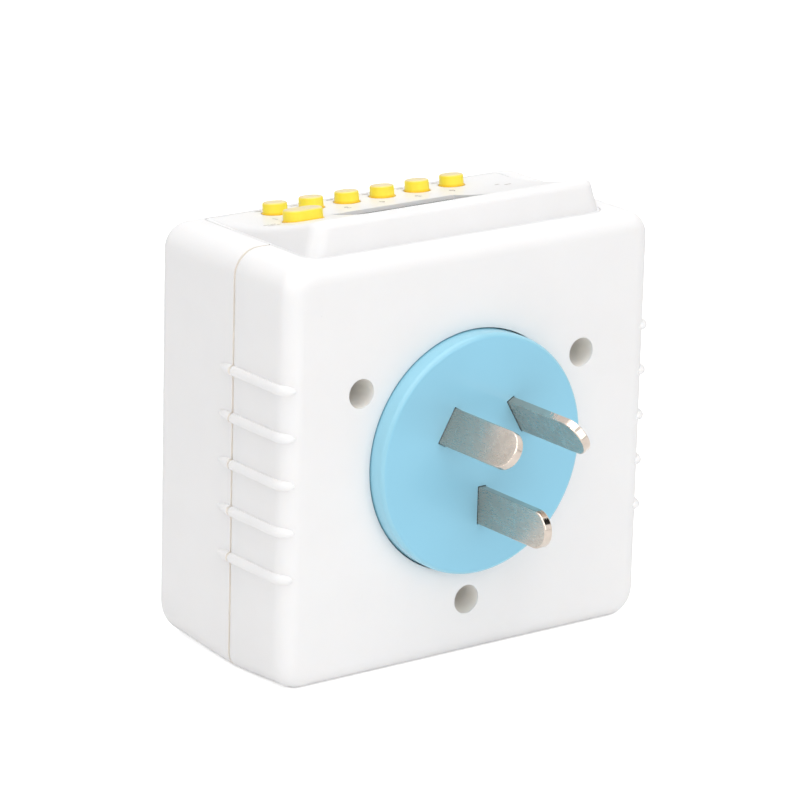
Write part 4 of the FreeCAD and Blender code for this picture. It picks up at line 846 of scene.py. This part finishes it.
@dataclass
class Display:
    """Clear window, display glass with its black mask and the segments of a clock."""

    finishes: Finishes
    slope: Slope
    mask_rim: float = 1.6 * MM
    ink: float = 0.03 * MM
    digit_height: float = 4.4 * MM
    digit_width: float = 2.5 * MM
    digit_pitch: float = 3.7 * MM
    bar: float = 0.48 * MM
    bar_gap: float = 0.12
    level: float = 0.05 * MM
    reading: str = "12:00"

    SEGMENTS = {
        "0": "abcdef", "1": "bc", "2": "abged", "3": "abgcd", "4": "fgbc",
        "5": "afgcd", "6": "afgedc", "7": "abc", "8": "abcdefg", "9": "abcdfg",
    }

    def build(self) -> None:
        """Dresses the window and its glass and adds the mask and the reading."""
        dress("lcd_lens", self.finishes.lens)
        dress("lcd_module", self.finishes.glass)
        dress("lcd_holder", self.finishes.holder)
        origin, half_x, half_y = self.glass_top()
        self.mask(origin, half_x, half_y)
        self.digits(origin)

    def glass_top(self) -> tuple[Vector, float, float]:
        """Finds the upper side of the display glass.

        Returns:
            Its centre, half its width along X and half its depth along the slope.
        """
        corners = [v.co for v in frame["nodes"]["lcd_module"].data.vertices]
        top = max(c.dot(self.slope.normal) for c in corners)
        upper = [c for c in corners if top - c.dot(self.slope.normal) < self.level]
        across = [c.x for c in upper]
        along = [c.dot(self.slope.uphill) for c in upper]
        centre = Vector((0, 0, 0))
        centre.x = (min(across) + max(across)) / 2
        middle = (min(along) + max(along)) / 2
        centre += self.slope.uphill * middle + self.slope.normal * top
        return centre, (max(across) - min(across)) / 2, (max(along) - min(along)) / 2

    def slab(
        self, shape: bmesh.types.BMesh, origin: Vector, corners: list[tuple[float, float]]
    ) -> None:
        """Adds a thin printed plate to a mesh.

        Args:
            shape: Mesh to add to.
            origin: Point of the slope from which the corners count.
            corners: Corners along X and up the slope, in order.
        """
        rings = []
        for lift in (0.0, self.ink):
            ring = []
            for x, row in corners:
                place = origin + Vector((x, 0, 0)) + self.slope.uphill * row
                ring.append(shape.verts.new(place + self.slope.normal * lift))
            rings.append(ring)
        close_plate(shape, *rings)

    def mask(self, origin: Vector, half_x: float, half_y: float) -> None:
        """Adds the black frame round the readable part of the glass.

        Args:
            origin: Centre of the glass.
            half_x: Half its width.
            half_y: Half its depth.
        """
        shape = bmesh.new()
        reach = half_x - self.mask_rim
        for side in (-1, 1):
            x0, x1 = sorted((side * half_x, side * reach))
            self.slab(shape, origin, rectangle(x0, -half_y, x1, half_y))
            row0, row1 = sorted((side * half_y, side * (half_y - self.mask_rim)))
            self.slab(shape, origin, rectangle(-reach, row0, reach, row1))
        mesh_piece("display_mask", shape, self.finishes.mask, Body.CASE)

    def segment(self, name: str) -> tuple[float, float, float, float]:
        """Ends of one bar of a digit.

        Args:
            name: Letter of the bar, from a at the top to g in the middle.

        Returns:
            Start and end, along X and up the slope, from the digit's centre.
        """
        x = self.digit_width / 2
        row = self.digit_height / 2
        ends = {
            "a": (-x, row, x, row), "b": (x, row, x, 0), "c": (x, 0, x, -row),
            "d": (x, -row, -x, -row), "e": (-x, -row, -x, 0), "f": (-x, 0, -x, row),
            "g": (-x, 0, x, 0),
        }
        return ends[name]

    def digits(self, origin: Vector) -> None:
        """Adds the reading as seven-bar digits that are read from the socket's side.

        Args:
            origin: Centre of the glass.
        """
        shape = bmesh.new()
        half = self.bar / 2
        start = -(len(self.reading) - 1) / 2
        for index, sign in enumerate(self.reading):
            x = (start + index) * self.digit_pitch
            if sign == ":":
                for row in (-self.digit_height / 4, self.digit_height / 4):
                    dot = rectangle(x - half, row - half, x + half, row + half)
                    self.slab(shape, origin, dot)
                continue
            for name in self.SEGMENTS[sign]:
                self.slab(shape, origin, self.pointed_bar(name, x))
        mesh_piece("display_reading", shape, self.finishes.segment, Body.CASE)

    def pointed_bar(self, name: str, x: float) -> list[tuple[float, float]]:
        """Outline of one bar with pointed ends.

        Args:
            name: Letter of the bar.
            x: Centre of the digit along X.

        Returns:
            Six corners along X and up the slope.
        """
        x0, row0, x1, row1 = self.segment(name)
        length = math.hypot(x1 - x0, row1 - row0)
        along = ((x1 - x0) / length, (row1 - row0) / length)
        across = (-along[1], along[0])
        half = self.bar / 2
        gap = self.bar * self.bar_gap
        corners = []
        for run, side in (
            (gap, 0), (gap + half, -half), (length - gap - half, -half),
            (length - gap, 0), (length - gap - half, half), (gap + half, half),
        ):
            corners.append((
                x + x0 + along[0] * run + across[0] * side,
                row0 + along[1] * run + across[1] * side,
            ))
        return corners


@dataclass(frozen=True)
class Mark:
    """Short row of dashes, from its start beside a key towards -X."""

    x: float
    y: float
    lengths: tuple[float, ...]


@dataclass
class PanelPrint:
    """Plain numbers and dashes printed round the keys."""

    finishes: Finishes
    lift: float = 0.012 * MM
    thick: float = 0.02 * MM
    number_size: float = 2.1 * MM
    near_row: float = 4.3 * MM
    beside: float = 3.4 * MM
    dash: float = 0.32 * MM
    dash_gap: float = 0.35 * MM
    key_mark: Mark = Mark(2.0 * MM, -3.35 * MM, (1.3 * MM, 0.9 * MM, 1.6 * MM))
    last_key_marks: tuple[Mark, ...] = (
        Mark(-4.5 * MM, 5.6 * MM, (0.8 * MM,)),
        Mark(-5.4 * MM, 7.0 * MM, (1.3 * MM,)),
    )
    mode_key_marks: tuple[Mark, ...] = (
        Mark(3.2 * MM, -0.8 * MM, (1.0 * MM, 0.9 * MM)),
        Mark(3.2 * MM, 0.6 * MM, (1.3 * MM, 0.6 * MM)),
    )

    def build(self) -> None:
        """Adds the numbers and dashes."""
        panel = frame["nodes"]["control_panel"].data
        corners = [v.co.copy() for v in panel.vertices]
        self.surface = BVHTree.FromPolygons(corners, [tuple(p.vertices) for p in panel.polygons])
        numbers = bmesh.new()
        dashes = bmesh.new()
        row_keys = [key for key in Key if key is not Key.MODE]
        for index, key in enumerate(row_keys):
            low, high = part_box(key.value)
            x = (low.x + high.x) / 2
            y = (low.y + high.y) / 2
            self.number(numbers, str(index + 1), x + self.beside, y + self.near_row)
            self.dashes(dashes, x, y, self.key_mark)
        for mark in self.last_key_marks:
            self.dashes(dashes, x, y, mark)
        low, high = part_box(Key.MODE.value)
        for mark in self.mode_key_marks:
            self.dashes(dashes, high.x, (low.y + high.y) / 2, mark)
        mesh_piece("panel_numbers", numbers, self.finishes.ink, Body.CASE)
        mesh_piece("panel_dashes", dashes, self.finishes.ink, Body.CASE)

    def on_panel(self, x: float, y: float, lift: float) -> Vector:
        """Point above the panel's upper face.

        Args:
            x: Place along X.
            y: Place along Y.
            lift: Height over the face.

        Returns:
            The point.
        """
        hit = self.surface.ray_cast(Vector((x, y, 0.1)), Vector((0, 0, -1)))
        return hit[0] + hit[1] * lift

    def plate(self, shape: bmesh.types.BMesh, corners: list[tuple[float, float]]) -> None:
        """Adds one printed shape that follows the panel's face.

        Args:
            shape: Mesh to add to.
            corners: Corners along X and Y, in order.
        """
        upper = [shape.verts.new(self.on_panel(x, y, self.lift + self.thick)) for x, y in corners]
        lower = [shape.verts.new(self.on_panel(x, y, self.lift)) for x, y in corners]
        close_plate(shape, lower, upper)

    def dashes(self, shape: bmesh.types.BMesh, x: float, y: float, mark: Mark) -> None:
        """Adds one row of dashes beside a key.

        Args:
            shape: Mesh to add to.
            x: Place of the key along X.
            y: Place of the key along Y.
            mark: The row.
        """
        half = self.dash / 2
        start = x + mark.x
        row = y + mark.y
        for length in mark.lengths:
            end = start - length
            self.plate(shape, rectangle(start, row - half, end, row + half))
            start = end - self.dash_gap

    def number(self, shape: bmesh.types.BMesh, sign: str, x: float, y: float) -> None:
        """Adds one number that is read from the socket's side.

        Args:
            shape: Mesh to add to.
            sign: The number.
            x: Centre along X.
            y: Centre along Y.
        """
        curve = bpy.data.curves.new("number", "FONT")
        curve.body = sign
        curve.size = self.number_size
        curve.align_x = "CENTER"
        curve.align_y = "CENTER"
        writer = bpy.data.objects.new("number", curve)
        flat = bpy.data.meshes.new_from_object(writer)
        bpy.data.objects.remove(writer)
        corners = [(v.co.x + x, v.co.y + y) for v in flat.vertices]
        for polygon in flat.polygons:
            self.plate(shape, [corners[i] for i in polygon.vertices])
        bpy.data.meshes.remove(flat)


@dataclass
class ControlPanel:
    """Sloping panel with its keys, display, print and board."""

    finishes: Finishes

    def build(self) -> None:
        """Dresses the panel's parts and adds the print and the display's parts."""
        slope = Slope.of_keys()
        dress("control_panel", self.finishes.panel)
        row = [v.co.dot(slope.normal) for v in frame["nodes"][Key.CLOCK.value].data.vertices]
        yellow = self.finishes.key.build(slope.normal, max(row))
        for key in Key:
            dress(key.value, yellow)
        dress("key_switches", self.finishes.switch)
        dress("control_board", self.finishes.board)
        dress("control_board_screws", self.finishes.steel)
        dress("control_chip", self.finishes.chip)
        dress("ribbon_cable", self.finishes.cable)
        Display(self.finishes, slope).build()
        PanelPrint(self.finishes).build()


@dataclass
class PlugHead:
    """Blue plug disc with its three pins."""

    finishes: Finishes

    def build(self) -> None:
        """Dresses the disc, the pins and what holds them."""
        dress("plug_disc", self.finishes.disc)
        for pole in Pole:
            dress(f"{pole.value}_pin", self.finishes.nickel)
        dress("pin_retainer", self.finishes.insulator)
        dress("retainer_screws", self.finishes.steel)


@dataclass
class PowerBoard:
    """Board behind the plug with its relay, capacitors, surge absorber and battery."""

    finishes: Finishes

    def build(self) -> None:
        """Dresses every part on the board."""
        finishes = self.finishes
        for node, material in (
            ("power_board", finishes.board),
            ("power_board_screws", finishes.steel),
            ("relay_base", finishes.relay),
            ("relay_case", finishes.relay),
            ("relay_coil", finishes.coil),
            ("relay_yoke", finishes.iron),
            ("relay_armature", finishes.iron),
            ("relay_terminal", finishes.brass),
            ("film_capacitor", finishes.film),
            ("smoothing_capacitor", finishes.can),
            ("surge_absorber", finishes.absorber),
            ("backup_battery", finishes.battery),
            ("battery_tags", finishes.tag),
        ):
            dress(node, material)


@dataclass
class SocketSide:
    """Socket disc with its carrier, shutter, contacts and straps."""

    finishes: Finishes
    shutter_travel: float = 3.2 * MM

    def build(self) -> None:
        """Dresses the socket's parts."""
        dress("socket_face", self.finishes.disc)
        dress("contact_carrier", self.finishes.insulator)
        dress("carrier_screws", self.finishes.steel)
        dress("socket_shutter", self.finishes.shutter)
        dress("shutter_spring", self.finishes.spring)
        for pole in Pole:
            dress(f"{pole.value}_contact", self.finishes.brass)
            dress(f"{pole.value}_strap", self.finishes.brass)
        self.spring()

    def spring(self) -> None:
        """Adds a copy of the shutter's spring that rides on the case, in place of the model's own
        spring.
        """
        node = frame["nodes"]["shutter_spring"]
        coil = bpy.data.objects.new("shutter_spring_coil", node.data.copy())
        bpy.context.scene.collection.objects.link(coil)
        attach(coil, Body.CASE.value)
        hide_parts("shutter_spring")
        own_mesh(coil)


@dataclass(frozen=True)
class SoftLamp:
    """Soft lamp that points at the timer, square or as an upright strip."""

    name: str
    azimuth: float
    elevation: float
    distance: float
    size: float
    watts: float
    tall: float | None = None

    def build(self, target: Vector) -> None:
        """Adds the lamp.

        Args:
            target: Point that it faces.
        """
        light = bpy.data.lights.new(self.name, "AREA")
        light.energy = self.watts
        light.size = self.size
        if self.tall is not None:
            light.shape = "RECTANGLE"
            light.size_y = self.tall
        lamp = bpy.data.objects.new(self.name, light)
        direction = bearing(self.azimuth, self.elevation)
        lamp.location = target + direction * self.distance
        lamp.rotation_euler = direction.to_track_quat("Z", "Y").to_euler()
        bpy.context.scene.collection.objects.link(lamp)


@dataclass(frozen=True)
class DarkCard:
    """Black card that only shows as a reflection, as a streak on the rounded metal ends."""

    direction: tuple[float, float, float] = (-0.6, 0.55, 0.55)
    distance: float = 0.6
    width: float = 0.16
    height: float = 0.36

    def build(self, target: Vector) -> None:
        """Adds the card.

        Args:
            target: Point that it faces.
        """
        shape = bmesh.new()
        bmesh.ops.create_grid(shape, x_segments=1, y_segments=1, size=0.5)
        bmesh.ops.scale(shape, vec=(self.width, self.height, 1.0), verts=shape.verts)
        mesh = bpy.data.meshes.new("dark_card")
        shape.to_mesh(mesh)
        shape.free()
        graph = Graph("card_black")
        paper = graph.noise(20 * MM, 2.0)
        graph.feed("Base Color", graph.blend(paper, tone(20, 20, 20), tone(24, 24, 24)))
        graph.set(roughness=0.9)
        mesh.materials.append(graph.material)
        card = bpy.data.objects.new("dark_card", mesh)
        direction = Vector(self.direction).normalized()
        card.location = target + direction * self.distance
        card.rotation_euler = direction.to_track_quat("Z", "Y").to_euler()
        card.visible_camera = False
        card.visible_diffuse = False
        card.visible_shadow = False
        bpy.context.scene.collection.objects.link(card)


def bearing(azimuth: float, elevation: float) -> Vector:
    """Direction from the timer to a viewpoint.

    Args:
        azimuth: Degrees round the timer; 0 looks along +Y and 90 along -X.
        elevation: Degrees above the horizon.

    Returns:
        The unit direction.
    """
    turn = math.radians(azimuth)
    rise = math.radians(elevation)
    level = math.cos(rise)
    return Vector((math.sin(turn) * level, -math.cos(turn) * level, math.sin(rise)))


@dataclass
class Studio:
    """Plain pale floor, soft lamps and the camera."""

    azimuth: float = 142.828
    elevation: float = 16.844
    roll: float = 1.482
    distance: float = 0.7305
    aim: tuple[float, float, float] = (17.06 * MM, 0.0, 10.13 * MM)
    lens: float = 207.9
    sensor: float = 36.0
    floor_reach: float = 6.0
    ambient: float = 0.364
    floor_glow: float = 0.6
    lamps: tuple[SoftLamp, ...] = (
        SoftLamp("edge_lamp", 135.0, 45.0, 0.9, 0.7, 1.96),
        SoftLamp("side_lamp", 98.0, 24.0, 0.9, 0.08, 1.14, tall=1.3),
        SoftLamp("rear_lamp", 190.0, 25.0, 0.9, 0.7, 1.92),
        SoftLamp("top_lamp", 150.0, 86.0, 0.9, 0.8, 4.05),
        SoftLamp("ahead_lamp", 322.0, 65.0, 0.9, 0.7, 0.85),
    )

    def build(self) -> None:
        """Sets up the world, the floor, the lamps and the camera."""
        scene = bpy.context.scene
        scene.view_settings.view_transform = "Standard"
        self.world(scene)
        self.floor()
        target = (CAD_BOUNDS[0] + CAD_BOUNDS[1]) / 2
        for lamp in self.lamps:
            lamp.build(target)
        DarkCard().build(target)
        self.camera(scene)

    def world(self, scene: bpy.types.Scene) -> None:
        """Makes a world that looks white and lights the timer evenly.

        Args:
            scene: Scene that gets the world.
        """
        world = bpy.data.worlds.new("studio")
        world.use_nodes = True
        nodes = world.node_tree.nodes
        links = world.node_tree.links
        background = nodes["Background"]
        background.inputs["Color"].default_value = (1, 1, 1, 1)
        path = nodes.new("ShaderNodeLightPath")
        seen = path.outputs["Is Camera Ray"]
        for name in ("Is Glossy Ray", "Is Transmission Ray"):
            either = nodes.new("ShaderNodeMath")
            either.operation = "MAXIMUM"
            links.new(seen, either.inputs[0])
            links.new(path.outputs[name], either.inputs[1])
            seen = either.outputs[0]
        level = nodes.new("ShaderNodeMapRange")
        level.inputs["To Min"].default_value = self.ambient
        level.inputs["To Max"].default_value = 1.0
        links.new(seen, level.inputs["Value"])
        links.new(level.outputs["Result"], background.inputs["Strength"])
        scene.world = world

    def floor(self) -> None:
        """Adds the floor on which the timer stands."""
        shape = bmesh.new()
        bmesh.ops.create_grid(shape, x_segments=4, y_segments=4, size=self.floor_reach)
        mesh = bpy.data.meshes.new("floor")
        shape.to_mesh(mesh)
        shape.free()
        graph = Graph("floor_white")
        paper = graph.noise(50 * MM, 2.0)
        graph.feed("Base Color", graph.blend(paper, tone(252, 252, 252), tone(249, 249, 249)))
        graph.set(roughness=0.9, specular_ior_level=0.1, emission_color=(1, 1, 1, 1))
        path = graph.nodes.new("ShaderNodeLightPath")
        glow = graph.math("MULTIPLY", path.outputs["Is Camera Ray"], self.floor_glow)
        graph.feed("Emission Strength", glow)
        mesh.materials.append(graph.material)
        floor = bpy.data.objects.new("floor", mesh)
        floor.location.z = CAD_BOUNDS[0].z
        bpy.context.scene.collection.objects.link(floor)

    def camera(self, scene: bpy.types.Scene) -> None:
        """Puts the camera at the photographed angle.

        Args:
            scene: Scene that gets the camera.
        """
        lens = bpy.data.cameras.new("camera")
        lens.lens = self.lens
        lens.sensor_width = self.sensor
        lens.clip_start = 0.01
        lens.clip_end = 50.0
        camera = bpy.data.objects.new("camera", lens)
        back = bearing(self.azimuth, self.elevation)
        turn = math.radians(self.azimuth)
        level = Vector((math.cos(turn), math.sin(turn), 0))
        upright = back.cross(level)
        tilt = math.radians(self.roll)
        right = level * math.cos(tilt) + upright * math.sin(tilt)
        place = Vector(self.aim) + back * self.distance
        rotation = Matrix((right, back.cross(right), back)).transposed().to_4x4()
        camera.matrix_world = Matrix.Translation(place) @ rotation
        scene.collection.objects.link(camera)
        scene.camera = camera


def main() -> None:
    """Builds the timer's looks and its studio in order."""
    logging.basicConfig(level=logging.INFO, format="%(name)s: %(message)s")
    Studio().build()
    finishes = Finishes()
    Case(finishes).build()
    ControlPanel(finishes).build()
    PlugHead(finishes).build()
    PowerBoard(finishes).build()
    SocketSide(finishes).build()


if __name__ == "__main__":
    main()
    bpy.context.view_layer.update()
